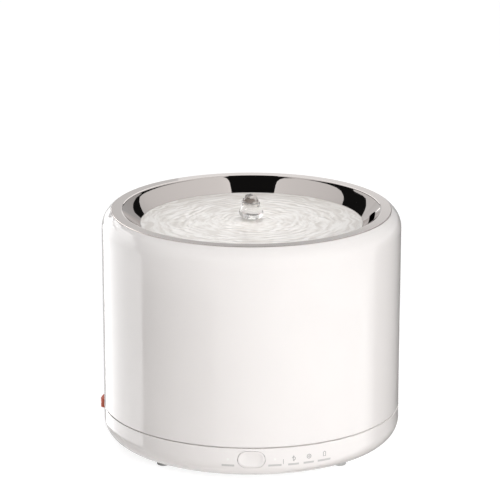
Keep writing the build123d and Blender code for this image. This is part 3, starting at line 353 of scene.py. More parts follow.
LAMP_BODY = Finish("lamp_body", (0.93, 0.92, 0.86), Surface.SATIN, 0.4)
CLEAR_ACRYLIC = Finish("clear_acrylic", (0.93, 0.94, 0.95), Surface.CLEAR, 0.08)
CELL_WRAP = Finish("cell_wrap", (0.15, 0.42, 0.36), Surface.MOULDED, 0.3, grain=1.5)
FLOAT_FOAM = Finish("float_foam", (0.88, 0.88, 0.86), Surface.GRANULES, 0.6, grain=1.4, relief=0.06)
LAMP_WINDOW = Finish("lamp_window", (0.97, 0.96, 0.93), Surface.PRINT, 0.25, grain=0.3, relief=0.002)
CERAMIC = Finish("shaft_ceramic", (0.92, 0.92, 0.90), Surface.SATIN, 0.3, grain=0.2)
CARBON = Finish("activated_carbon", (0.035, 0.035, 0.037), Surface.GRANULES, 0.75, grain=1.6, relief=0.6)
COTTON = Finish("filter_cotton", (0.90, 0.90, 0.88), Surface.FIBRE, 0.9, grain=0.5, relief=0.25)
GREY_INK = Finish("grey_ink", (0.40, 0.39, 0.385), Surface.PRINT, 0.5, grain=0.3, relief=0.002)
PALE_INK = Finish("pale_ink", (0.62, 0.605, 0.595), Surface.PRINT, 0.4, grain=0.3, relief=0.002)

SLOT_FINISH: dict[str, Finish] = {
    "white_gloss": WHITE_GLOSS,
    "white_satin": WHITE_SATIN,
    "pump_grey": PUMP_GREY,
    "dark_plastic": DARK_PLASTIC,
    "coral_silicone": CORAL,
    "grey_silicone": GREY_SILICONE,
    "clear_silicone": CLEAR_SILICONE,
    "polished_steel": POLISHED_STEEL,
    "plain_steel": PLAIN_STEEL,
    "copper_wire": COPPER,
    "ferrite": FERRITE,
    "magnet": MAGNET,
    "core_steel": CORE_STEEL,
    "circuit_board": BOARD_GREEN,
    "lamp_body": LAMP_BODY,
    "clear_acrylic": CLEAR_ACRYLIC,
    "cell_can": CELL_WRAP,
    "float_foam": FLOAT_FOAM,
    "shaft_ceramic": CERAMIC,
    "activated_carbon": CARBON,
    "filter_cotton": COTTON,
}


# --- Mesh helpers ---
def between(start: float, end: float, share: float) -> float:
    """Returns the value at a share of the way from start to end."""
    return start + (end - start) * share


def round_axis(radius: float, turn: float, z: float) -> Vector:
    """Returns the point at a radius, an angle from +X round the drum's axis, and a height."""
    return Vector((radius * math.cos(turn), radius * math.sin(turn), z))


def off_slope(turn: float, lean: float) -> Vector:
    """Returns the direction straight up from a slope that rises outwards by a lean from level."""
    return Vector((-math.sin(lean) * math.cos(turn), -math.sin(lean) * math.sin(turn), math.cos(lean)))


def on_arc(middle: Point, reach: float, lean: float) -> Point:
    """Returns the point at a reach from an arc's middle, by an angle outwards from straight down."""
    return middle[0] + reach * math.sin(lean), middle[1] - reach * math.cos(lean)


def ring_of_points(radius: float, height: float, steps: int) -> list[Point]:
    """Returns the corners of a circle round the point (0, height)."""
    turns = [FULL_TURN * i / steps for i in range(steps)]
    return [(radius * math.cos(t), height + radius * math.sin(t)) for t in turns]


def to_object(
    name: str, mesh: bpy.types.Mesh, material: bpy.types.Material | None = None
) -> bpy.types.Object:
    """Links a mesh to the scene as an object at the origin.

    Args:
        name: the piece's name.
        mesh: its mesh, already in the fountain's frame.
        material: its material, if it gets one now.

    Returns:
        The new object.
    """
    made = bpy.data.objects.new(name, mesh)
    bpy.context.scene.collection.objects.link(made)
    if material is not None:
        mesh.materials.append(material)
    return made


def mesh_from(name: str, shape: bmesh.types.BMesh, smooth: bool = True) -> bpy.types.Mesh:
    """Turns a bmesh into a mesh with its normals outwards, and frees it."""
    bmesh.ops.remove_doubles(shape, verts=shape.verts, dist=WELD)
    bmesh.ops.recalc_face_normals(shape, faces=shape.faces)
    mesh = bpy.data.meshes.new(name)
    shape.to_mesh(mesh)
    shape.free()
    for face in mesh.polygons:
        face.use_smooth = smooth
    return mesh


def revolved(name: str, profile: list[Point], steps: int) -> bpy.types.Mesh:
    """Revolves a profile round the drum's axis.

    Args:
        name: the mesh's name.
        profile: points (radius, z) from one end of the outline to the other.
        steps: faces round the axis.

    Returns:
        The closed mesh, smooth shaded.
    """
    shape = bmesh.new()
    turns = [FULL_TURN * i / steps for i in range(steps)]
    rings = [[shape.verts.new(round_axis(radius, t, z)) for t in turns] for radius, z in profile]
    for lower, upper in zip(rings, rings[1:]):
        for i in range(steps):
            j = (i + 1) % steps
            shape.faces.new((lower[i], lower[j], upper[j], upper[i]))
    return mesh_from(name, shape)


def close_prism(shape: bmesh.types.BMesh, levels: list[list[bmesh.types.BMVert]]) -> None:
    """Closes a solid between two outlines that have as many corners.

    Args:
        shape: the bmesh that gets the faces.
        levels: the two outlines.
    """
    for level in levels:
        shape.faces.new(level)
    lower, upper = levels
    for i, corner in enumerate(lower):
        j = (i + 1) % len(lower)
        shape.faces.new((corner, lower[j], upper[j], upper[i]))


def plain_from_modifiers(
    name: str, source: bpy.types.Object, material: bpy.types.Material | None = None
) -> bpy.types.Object:
    """Turns an object with modifiers into a plain mesh object and removes the first.

    Args:
        name: the finished piece's name.
        source: the object that carries the modifiers.
        material: the piece's material, where the modifiers don't set one.

    Returns:
        The plain mesh object.
    """
    graph = bpy.context.evaluated_depsgraph_get()
    mesh = bpy.data.meshes.new_from_object(source.evaluated_get(graph))
    mesh.name = name
    bpy.data.objects.remove(source)
    return to_object(name, mesh, material)


def add_nodes_modifier(
    carrier: bpy.types.Object, tree: bpy.types.NodeTree, values: dict[str, object]
) -> None:
    """Adds a Geometry Nodes modifier and sets its named inputs by their identifiers.

    Args:
        carrier: the object that gets the modifier.
        tree: the geometry tree.
        values: the inputs' names and values.
    """
    modifier = carrier.modifiers.new("rule", "NODES")
    modifier.node_group = tree
    for item in tree.interface.items_tree:
        if item.item_type == "SOCKET" and item.in_out == "INPUT" and item.name in values:
            modifier[item.identifier] = values[item.name]


# --- Tray ---
@dataclass(frozen=True)
class TraySection:
    """Half of the tray's cross-section: a level flange, a bowl-shaped wall and a level floor.

    Attributes:
        edge: radius of the flange's outer edge.
        rim: radius at which the wall would meet the flange without the round between them.
        hole: radius of the spout's hole.
        top: height of the flange.
        depth: from the flange to the floor.
        sheet: thickness of the steel.
        slope: the wall's mean angle from level, in degrees.
        bowl: how much the wall flattens from its top to its foot, in degrees.
        brow: radius of the round from the flange to the wall.
        bend: radius of the round from the wall to the floor.
        nose: radius of the flange's outer corners.
        round_steps: faces down each of the wall's two rounds.
        wall_steps: faces down the wall between them.
        nose_steps: faces round each outer corner.
    """

    edge: float = 91.5 * MM
    rim: float = 84.5 * MM
    hole: float = 6.90 * MM
    top: float = 156.724 * MM
    depth: float = 12.8 * MM
    sheet: float = 0.8 * MM
    slope: float = 36.6
    bowl: float = 12.0
    brow: float = 1.6 * MM
    bend: float = 5.0 * MM
    nose: float = 0.35 * MM
    round_steps: int = 14
    wall_steps: int = 48
    nose_steps: int = 6

    def wall(self) -> tuple[Point, float]:
        """Returns the middle of the wall's arc, as radius and height, and the arc's radius."""
        mean, half = math.radians(self.slope), math.radians(self.bowl / 2)
        reach = self.depth / math.sin(mean) / (2 * math.sin(half))
        across = self.rim - self.depth / math.tan(mean) / 2 - reach * math.cos(half) * math.sin(mean)
        height = self.top - self.depth / 2 + reach * math.cos(half) * math.cos(mean)
        return (across, height), reach

    def leans(self) -> Pair:
        """Returns the wall's angle from level where the brow ends and where the bend begins."""
        (_, height), reach = self.wall()
        floor = self.top - self.depth
        upper = math.acos((height - self.top + self.brow) / (reach + self.brow))
        lower = math.acos((height - floor - self.bend) / (reach - self.bend))
        return upper, lower

    def side(self, under: float) -> list[Point]:
        """Gives one face of the sheet, from the flange's edge to the hole.

        Args:
            under: how far below the upper face it lies.

        Returns:
            Points (radius, height).
        """
        middle, reach = self.wall()
        upper, lower = self.leans()
        floor = self.top - self.depth
        brow = (middle[0] + (reach + self.brow) * math.sin(upper), self.top - self.brow)
        bend = (middle[0] + (reach - self.bend) * math.sin(lower), floor + self.bend)
        # Narrow rings beside the nose and the brow keep the flange between them shaded level.
        level = (self.edge - self.nose, self.edge - 1.2 * self.nose, brow[0] + self.nose / 2)
        shares = [i / self.round_steps for i in range(self.round_steps + 1)]
        inner = [i / self.wall_steps for i in range(1, self.wall_steps)]
        line = [(radius, self.top - under) for radius in level]
        line += [on_arc(brow, under - self.brow, upper * share) for share in shares]
        line += [on_arc(middle, reach + under, between(upper, lower, share)) for share in inner]
        line += [on_arc(bend, self.bend + under, lower * (1 - share)) for share in shares]
        return line + [(bend[0] - self.nose, floor - under), (self.hole, floor - under)]

    def outline(self) -> list[Point]:
        """Returns the closed outline of the sheet, with its outer corners rounded."""
        outline = self.side(0.0) + self.side(self.sheet)[::-1]
        corner = self.edge - self.nose
        for first, height in ((-90, self.top - self.sheet + self.nose), (0, self.top - self.nose)):
            for i in range(1, self.nose_steps):
                turn = math.radians(first + 90 * i / self.nose_steps)
                outline.append((corner + self.nose * math.cos(turn), height + self.nose * math.sin(turn)))
        return outline + outline[:1]

    def seen(self, eye: Vector, turn: float, share: float, height: float) -> Point:
        """Follows a ray from an eye by way of the wall up to a level plane.

        Args:
            eye: the eye's place.
            turn: direction of the wall's point from the axis, in degrees from +X.
            share: how far down the wall the point is, from 0 to 1.
            height: the plane's height.

        Returns:
            The place on the plane.
        """
        middle, reach = self.wall()
        around, lean = math.radians(turn), math.radians(self.slope + self.bowl * (0.5 - share))
        radius, level = on_arc(middle, reach, lean)
        point = round_axis(radius, around, level)
        ray = (point - eye).normalized().reflect(off_slope(around, lean))
        place = point + ray * ((height - point.z) / ray.z)
        return place.x, place.y

    def panel(
        self, eye: Vector, knots: Row, height: float, foot: float = 1.2, steps: int = 10
    ) -> tuple[Row, ...]:
        """Gives the rows of a level card whose reflection hangs down the wall.

        Args:
            eye: the place that the reflection is seen from.
            knots: points of the reflection's upper edge, as turn and share.
            height: the card's height.
            foot: share at which the reflection ends, past the wall's foot.
            steps: faces from the upper edge to there.

        Returns:
            The card's rows of corners.
        """
        rows = []
        for (turn, share), (next_turn, next_share) in zip(knots, knots[1:] + knots[-1:]):
            for part in (0.0, 0.25, 0.5, 0.75):
                at, top = between(turn, next_turn, part), between(share, next_share, part)
                downs = [between(top, foot, i / steps) for i in range(steps + 1)]
                rows.append(tuple(self.seen(eye, at, down, height) for down in downs))
        return tuple(rows)


@dataclass
class Tray:
    """The polished drinking tray, as one smooth sheet with its return slot.

    Attributes:
        section: its cross-section.
        steps: faces round the axis.
        slot_length: overall length of the return slot.
        slot_width: width of the slot.
        slot_turn: direction of the slot from the axis, in degrees from +X.
        slot_down: from the rim down the slope to the slot's middle.
        slot_steps: corners of the slot's outline.
        sharp: angle from which two faces meet in an edge, in degrees.
    """

    section: TraySection = field(default_factory=TraySection)
    steps: int = 360
    slot_length: float = 22.0 * MM
    slot_width: float = 5.0 * MM
    slot_turn: float = -5.0
    slot_down: float = 7.5 * MM
    slot_steps: int = 48
    sharp: float = 32.0

    def slot_cutter(self) -> bpy.types.Object:
        """Builds the solid that cuts the return slot, and returns it."""
        turn, lean = math.radians(self.slot_turn), math.radians(self.section.slope)
        along = Vector((-math.sin(turn), math.cos(turn), 0.0))
        out = off_slope(turn, lean)
        across = out.cross(along)
        radius = self.section.rim - self.slot_down * math.cos(lean)
        middle = round_axis(radius, turn, self.section.top - self.slot_down * math.sin(lean))
        straight, end = (self.slot_length - self.slot_width) / 2, self.slot_width / 2
        shape = bmesh.new()
        levels = []
        for away in (-4 * self.section.sheet, 4 * self.section.sheet):
            level = []
            for i in range(self.slot_steps):
                angle = FULL_TURN * (i + 0.5) / self.slot_steps
                shift = along * (math.copysign(straight, math.cos(angle)) + end * math.cos(angle))
                level.append(shape.verts.new(middle + shift + across * end * math.sin(angle) + out * away))
            levels.append(level)
        close_prism(shape, levels)
        return to_object("slot_cutter", mesh_from("slot_cutter", shape, False))

    def build(self) -> list[bpy.types.Object]:
        """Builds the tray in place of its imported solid.

        Returns:
            The finished sheet, in a list.
        """
        blank = to_object("tray_blank", revolved("tray_blank", self.section.outline(), self.steps))
        cutter = self.slot_cutter()
        cut = blank.modifiers.new("slot", "BOOLEAN")
        cut.operation, cut.solver, cut.object = "DIFFERENCE", "EXACT", cutter
        made = plain_from_modifiers("polished_tray", blank, POLISHED_STEEL.material())
        bpy.data.objects.remove(cutter)
        made.data.set_sharp_from_angle(angle=math.radians(self.sharp))
        return [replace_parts(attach(made, "tray"), "steel_tray")]


# --- Studio ---
FEWEST_FACES = 12  # in a card's width


@dataclass(frozen=True)
class ArcCard:
    """A card that stands round the fountain and is seen in reflections only.

    Attributes:
        name: the card's name.
        start: azimuth of its left edge.
        end: azimuth of its right edge.
        low: height of its lower edge.
        high: height of its upper edge.
        tone: its brightness at the left edge, where 1 is white.
        end_tone: its brightness at the right edge.
        corner: radius of its upper corners.
        distance: its radius round the drum's axis.
    """

    name: str
    start: float
    end: float
    low: float
    high: float
    tone: float
    end_tone: float
    corner: float = 0.02
    distance: float = 0.9

    def build(self) -> bpy.types.Object:
        """Builds the card as a strip of tall faces, about one for each degree, and returns it."""
        shape = bmesh.new()
        steps = max(FEWEST_FACES, round(abs(self.end - self.start)))
        width = math.radians(self.end - self.start) * self.distance
        fade = shape.verts.layers.float.new(FADE)
        columns = []
        for i in range(steps + 1):
            share = 0.5 - 0.5 * math.cos(math.pi * i / steps)
            missing = max(0.0, self.corner - min(share, 1.0 - share) * width)
            top = self.high - self.corner + math.sqrt(max(0.0, self.corner**2 - missing**2))
            turn = math.radians(between(self.start, self.end, share))
            x, y = self.distance * math.sin(turn), -self.distance * math.cos(turn)
            columns.append([shape.verts.new((x, y, z)) for z in (self.low, top)])
            for vertex in columns[-1]:
                vertex[fade] = between(self.tone, self.end_tone, share)
        for left, right in zip(columns, columns[1:]):
            shape.faces.new((left[0], right[0], right[1], left[1]))
        return reflection_only(to_object(self.name, mesh_from(self.name, shape)))


@dataclass(frozen=True)
class CeilingCard:
    """A level card over the fountain, seen in reflections only.

    Attributes:
        name: the card's name.
        rows: lines of corners, as x and y, each with as many corners as the next.
        tone: its brightness at the first row, where 1 is white.
        end_tone: its brightness at the last row.
        height: its height over the floor.
    """

    name: str
    rows: tuple[Row, ...]
    tone: float
    end_tone: float
    height: float

    def build(self) -> bpy.types.Object:
        """Builds the card as a grid of faces and returns it."""
        shape = bmesh.new()
        fade = shape.verts.layers.float.new(FADE)
        lines = []
        for i, row in enumerate(self.rows):
            lines.append([shape.verts.new((x, y, self.height)) for x, y in row])
            for vertex in lines[-1]:
                vertex[fade] = between(self.tone, self.end_tone, i / (len(self.rows) - 1))
        for first, second in zip(lines, lines[1:]):
            for i in range(len(first) - 1):
                shape.faces.new((first[i], first[i + 1], second[i + 1], second[i]))
        return reflection_only(to_object(self.name, mesh_from(self.name, shape)))


def reflection_only(card: bpy.types.Object) -> bpy.types.Object:
    """Makes a card glow by its own brightness and keeps it to reflected and refracted rays.

    A ray that has met steel twice finds every card at one brightness.

    Args:
        card: the card's object, whose vertices carry the brightness.

    Returns:
        The same object.
    """
    material, graph = blank_material(card.name)
    tone = graph.add("ShaderNodeAttribute", attribute_name=FADE).outputs["Fac"]
    depth = graph.add("ShaderNodeLightPath").outputs["Glossy Depth"]
    again = graph.math("GREATER_THAN", depth, 1.5)
    tone = graph.math("MULTIPLY_ADD", graph.math("SUBTRACT", SECOND_TONE, tone), again, tone)
    graph.surface(graph.add("ShaderNodeEmission", {"Color": WHITE, "Strength": tone}))
    card.data.materials.append(material)
    card.visible_camera = False
    card.visible_diffuse = False
    card.visible_shadow = False
    return card


# The upper edge of each panel's reflection on the tray's wall: the turn in degrees from +X, and
# the share of the way down the wall.
PANEL_LEFT: Row = (
    (100.5, 0.3), (100.9, 0.18), (101.6, 0.1), (102.8, 0.055), (105.7, 0.035), (114.0, 0.045),
    (126.0, 0.055), (136.0, 0.065), (146.0, 0.09), (151.0, 0.11), (154.3, 0.15), (157.6, 0.26),
    (160.6, 0.41), (165.4, 0.69), (169.0, 0.95), (171.0, 1.1),
)
PANEL_RIGHT: Row = (
    (78.0, 0.35), (77.6, 0.22), (76.6, 0.13), (74.7, 0.08), (70.0, 0.05), (64.5, 0.05),
    (58.0, 0.065), (52.0, 0.09), (46.4, 0.14), (42.3, 0.22), (38.7, 0.36), (36.8, 0.47),
    (34.5, 0.69), (32.0, 0.95), (30.5, 1.1),
)

# The outlines of the level cards: rows of y, least x and greatest x.
Band = tuple[tuple[float, float, float], ...]
DARK_MIDDLE: Band = (
    (-1.5, -0.9, 0.9), (0.3, -0.9, 0.9), (0.94, -0.94, 1.0), (1.4, -1.075, 1.085),
    (1.72, -1.14, 1.16), (2.42, -1.18, 1.27), (3.1, -1.19, 1.355),
)
DARK_LEFT: Band = ((3.1, 0.5, 1.355), (3.42, 0.5, 1.39), (4.65, 0.52, 1.49), (5.5, 0.55, 1.52))
DARK_RIGHT: Band = ((3.1, -1.19, -0.5), (3.6, -1.2, -0.5), (5.5, -1.22, -0.55))
WATER_LIGHT: Band = ((0.6, -0.55, 0.55), (3.1, -0.6, 0.6))
FLANGE_LIGHT: Band = ((3.1, -0.6, 0.6), (3.5, -0.7, 0.7), (3.62, -0.7, 0.7), (3.95, -0.8, 0.8))
SHOULDER_LIGHT: Band = ((0.8, -6.0, -1.5), (3.0, -6.0, -1.5))
GREY_LEFT: Band = ((-1.5, 0.8, 6.0), (3.0, 1.0, 6.0), (9.0, 1.4, 6.0))
GREY_RIGHT: Band = ((-1.5, -6.0, -0.8), (3.0, -6.0, -1.0), (9.0, -6.0, -1.4))
DARK = 0.008  # brightness of the dark cards


def spans(band: Band) -> tuple[Row, ...]:
    """Turns rows of y, least x and greatest x into rows of two corners."""
    return tuple(((least, y), (most, y)) for y, least, most in band)


@dataclass
class Studio:
    """Camera, lamps, cards, floor and world.

    Attributes:
        target: the point that the lamps face, and that the camera's place is measured from.
        distance: from the camera to the target.
        elevation: of the camera over the target's level, in degrees.
        pitch: how far the view looks down, in degrees.
        turn: of the view to the left, in degrees.
        lens: focal length over a sensor 36 mm wide.
        ambient: brightness of the world for matt surfaces.
        floor_reach: half of the floor's width.
        floor_tone: colour that the floor throws back on the drum.
        floor_shade: how strongly the floor that is seen takes light and shadow.
        floor_glow: its brightness without any light.
        ceiling: height of the lowest level card.
        gap: step from one layer of level cards to the next.
    """

    target: Vector = field(default_factory=lambda: Vector((0.0, 0.0, 0.0848)))
    distance: float = 2.3013
    elevation: float = 17.084
    pitch: float = 16.044
    turn: float = 0.025
    lens: float = 251.46
    ambient: float = 0.32
    floor_reach: float = 4.0
    floor_tone: RGBA = (0.94, 0.93, 0.92, 1.0)
    floor_shade: RGBA = (0.32, 0.32, 0.32, 1.0)
    floor_glow: float = 0.86
    ceiling: float = 1.15
    gap: float = 0.01

    def eye(self) -> Vector:
        """Returns the camera's place."""
        rise = math.radians(self.elevation)
        return self.target + self.distance * Vector((0.0, -math.cos(rise), math.sin(rise)))

    def camera(self) -> None:
        """Places the camera and makes it the scene's own."""
        data = bpy.data.cameras.new("camera")
        data.sensor_width = 36.0
        data.lens = self.lens
        data.clip_start, data.clip_end = 0.05, 50.0
        made = bpy.data.objects.new("camera", data)
        made.location = self.eye()
        made.rotation_euler = (math.radians(90.0 - self.pitch), 0.0, math.radians(self.turn))
        bpy.context.scene.collection.objects.link(made)
        bpy.context.scene.camera = made

    def lamp(
        self, name: str, azimuth: float, rise: float, reach: float, size: float, power: float
    ) -> None:
        """Adds a soft lamp that faces the fountain.

        Args:
            name: the lamp's name.
            azimuth: its direction from the drum.
            rise: its elevation, in degrees.
            reach: its distance.
            size: its width.
            power: its power in watts.
        """
        data = bpy.data.lights.new(name, "AREA")
        data.shape, data.size, data.energy = "DISK", size, power
        made = bpy.data.objects.new(name, data)
        turn, up = math.radians(azimuth), math.radians(rise)
        away = Vector((math.sin(turn) * math.cos(up), -math.cos(turn) * math.cos(up), math.sin(up)))
        made.location = self.target + reach * away
        made.rotation_euler = away.to_track_quat("Z", "Y").to_euler()
        made.visible_glossy = False
        bpy.context.scene.collection.objects.link(made)

    def spot(self, name: str, rise: float, radius: float, power: float) -> None:
        """Adds a narrow lamp straight over the bowl, which lights the water alone.

        Args:
            name: the lamp's name.
            rise: its height over the floor.
            radius: radius of the lit spot at the tray's level.
            power: its power in watts.
        """
        data = bpy.data.lights.new(name, "SPOT")
        data.spot_size, data.spot_blend = 2 * math.atan(radius / (rise - TraySection.top)), 0.15
        data.shadow_soft_size, data.energy = 0.05, power
        made = bpy.data.objects.new(name, data)
        made.location = (0.0, 0.0, rise)
        made.visible_glossy = False
        bpy.context.scene.collection.objects.link(made)

    def world(self) -> None:
        """Makes the world white where it is seen or reflected, and soft grey where it lights."""
        world = bpy.data.worlds.new("studio")
        bpy.context.scene.world = world
        world.use_nodes = True
        graph = Graph(world.node_tree)
        path = graph.add("ShaderNodeLightPath").outputs
        seen = graph.math("MAXIMUM", path["Is Camera Ray"], path["Is Glossy Ray"])
        seen = graph.math("MAXIMUM", seen, path["Is Transmission Ray"])
        soft = graph.add("ShaderNodeBackground", {0: WHITE, 1: self.ambient})
        white = graph.add("ShaderNodeBackground", {0: WHITE, 1: 1.0})
        both = graph.add("ShaderNodeMixShader", {0: seen, 1: soft.outputs[0], 2: white.outputs[0]})
        graph.add("ShaderNodeOutputWorld", {0: both.outputs[0]})

    def floor(self) -> None:
        """Lays a pale floor that stays white to the camera and keeps a faint shadow."""
        shape = bmesh.new()
        reach = self.floor_reach
        corners = ((-reach, -reach), (reach, -reach), (reach, reach), (-reach, reach))
        shape.faces.new([shape.verts.new((x, y, 0.0)) for x, y in corners])
        floor = to_object("floor", mesh_from("floor", shape))
        material, graph = blank_material("floor")
        path = graph.add("ShaderNodeLightPath").outputs
        matt = graph.add("ShaderNodeBsdfDiffuse", {"Color": self.floor_tone})
        pale = graph.add("ShaderNodeBsdfDiffuse", {"Color": self.floor_shade})
        glow = graph.add("ShaderNodeEmission", {"Color": WHITE, "Strength": self.floor_glow})
        lit = graph.add("ShaderNodeAddShader", {0: pale.outputs[0], 1: glow.outputs[0]})
        values = {0: path["Is Camera Ray"], 1: matt.outputs[0], 2: lit.outputs[0]}
        graph.surface(graph.add("ShaderNodeMixShader", values))
        floor.data.materials.append(material)
        floor.visible_glossy = False
        floor.visible_transmission = False

    def cards(self) -> None:
        """Stands the cards that show in the gloss, and hangs those that steel and water show."""
        tray, eye, over, gap = TraySection(), self.eye(), self.ceiling, self.gap
        for card in (
            ArcCard("card_left_front", -88.0, -27.3, -2.5, -0.117, 0.0, 0.0, 0.05),
            ArcCard("card_front", -27.3, 97.0, -2.5, -0.117, 0.6, 2.0, 0.08),
            ArcCard("card_right_back", 104.0, 163.0, -2.5, 0.12, 0.0, 0.0),
            ArcCard("card_left_back", -153.0, -89.0, -0.3, 0.03, 3.6, 2.5),
            ArcCard("card_left_low", -153.0, -89.0, -2.5, -0.3, 0.8, 0.8, 0.0),
            ArcCard("card_edge", -178.0, -154.0, -2.2, -0.3, 0.68, 0.68, 0.0, 3.4),
            ArcCard("card_shoulder_back", -166.0, -153.0, -0.28, 0.5, 1.7, 2.6, distance=3.5),
            ArcCard("card_shoulder", -153.0, -98.0, -0.4, 1.05, 4.2, 3.0, distance=3.5),
            ArcCard("card_backdrop_left", -178.0, -130.0, -1.0, 1.2, 0.72, 0.6, distance=3.6),
            ArcCard("card_backdrop_right", 140.0, 172.0, -1.0, 1.0, 0.45, 0.45, distance=3.6),
            CeilingCard("panel_left", tray.panel(eye, PANEL_LEFT, over), 1.02, 0.55, over),
            CeilingCard("panel_right", tray.panel(eye, PANEL_RIGHT, over), 0.92, 0.62, over),
            CeilingCard("water_light", spans(WATER_LIGHT), 1.0, 1.7, over + gap),
            CeilingCard("dark_middle", spans(DARK_MIDDLE), DARK, DARK, over + 2 * gap),
            CeilingCard("dark_left", spans(DARK_LEFT), DARK, DARK, over + 2 * gap),
            CeilingCard("dark_right", spans(DARK_RIGHT), DARK, DARK, over + 2 * gap),
            CeilingCard("flange_light", spans(FLANGE_LIGHT), 0.43, 0.97, over + 3 * gap),
            CeilingCard("shoulder_light", spans(SHOULDER_LIGHT), 3.5, 3.5, over + 3.5 * gap),
            CeilingCard("grey_left", spans(GREY_LEFT), 0.45, 0.45, over + 4 * gap),
            CeilingCard("grey_right", spans(GREY_RIGHT), 0.72, 0.72, over + 4 * gap),
        ):
            card.build()

    def build(self) -> None:
        """Builds the whole studio, the camera first."""
        self.camera()
        self.world()
        self.floor()
        self.cards()
        self.lamp("key_lamp", 28.5, 20.0, 2.2, 1.0, 26.0)
        self.lamp("left_lamp", -118.0, 55.0, 2.2, 1.0, 7.5)
        self.lamp("top_lamp", 0.0, 88.0, 2.2, 1.4, 5.0)
        self.spot("bowl_spot", 1.5, 0.073, 15.0)
        bpy.context.scene.view_settings.view_transform = "Standard"
        LOG.info("studio is ready")


# --- Base ---
@dataclass
class WallPrint:
    """Marks printed on the base's wall.

    Attributes:
        drum: radius of the base's straight side.
        corner: radius of the round below it.
        bend: height at which the round begins.
        sink: how deep a mark's back lies in the wall.
        proud: how far its face stands out.
        dot_steps: corners of a round dot.
    """

    drum: float = 97.5 * MM
    corner: float = 12.7 * MM
    bend: float = 16.0 * MM
    sink: float = 0.05 * MM
    proud: float = 0.035 * MM
    dot_steps: int = 20

    def on_wall(self, azimuth: float, across: float, z: float, out: float) -> tuple[float, float, float]:
        """Gives the point of the wall at a distance along it from an azimuth.

        Args:
            azimuth: in degrees from the front.
            across: distance to the right along the wall.
            z: height.
            out: distance out from the wall's surface.

        Returns:
            The point.
        """
        radius, rise = self.drum + out, z
        if z < self.bend:
            lean = math.asin(min(1.0, (self.bend - z) / self.corner))
            radius = self.drum - self.corner + (self.corner + out) * math.cos(lean)
            rise = self.bend - (self.corner + out) * math.sin(lean)
        turn = math.radians(azimuth) + across / self.drum
        return radius * math.sin(turn), -radius * math.cos(turn), rise

    def stroke(
        self,
        shape: bmesh.types.BMesh,
        azimuth: float,
        line: list[Point],
        width: float,
        close: bool = False,
    ) -> None:
        """Draws a line of even width on the wall, as a thin closed solid.

        Args:
            shape: the bmesh that gets it.
            azimuth: of the drawing's middle.
            line: points (across, z) of its middle line.
            width: its width.
            close: whether its end joins its start.
        """
        count = len(line)
        sides = ((1, self.proud), (-1, self.proud), (-1, -self.sink), (1, -self.sink))
        rings = []
        for i, (x, z) in enumerate(line):
            before = line[(i - 1) % count] if close or i else line[0]
            after = line[(i + 1) % count] if close or i < count - 1 else line[-1]
            dx, dz = after[0] - before[0], after[1] - before[1]
            length = math.hypot(dx, dz)
            nx, nz = -dz / length * width / 2, dx / length * width / 2
            spots = [self.on_wall(azimuth, x + s * nx, z + s * nz, out) for s, out in sides]
            rings.append([shape.verts.new(spot) for spot in spots])
        pairs = list(zip(rings, rings[1:])) + ([(rings[-1], rings[0])] if close else [])
        for first, second in pairs:
            for i in range(4):
                j = (i + 1) % 4
                shape.faces.new((first[i], first[j], second[j], second[i]))
        if not close:
            shape.faces.new(rings[0])
            shape.faces.new(rings[-1])

    def disc(self, shape: bmesh.types.BMesh, azimuth: float, z: float, radius: float) -> None:
        """Prints a round dot on the wall.

        Args:
            shape: the bmesh that gets it.
            azimuth: of the dot's middle.
            z: height of its middle.
            radius: its radius.
        """
        circle = ring_of_points(radius, z, self.dot_steps)
        levels = []
        for out in (self.proud, -self.sink):
            spots = [self.on_wall(azimuth, x, height, out) for x, height in circle]
            levels.append([shape.verts.new(spot) for spot in spots])
        close_prism(shape, levels)


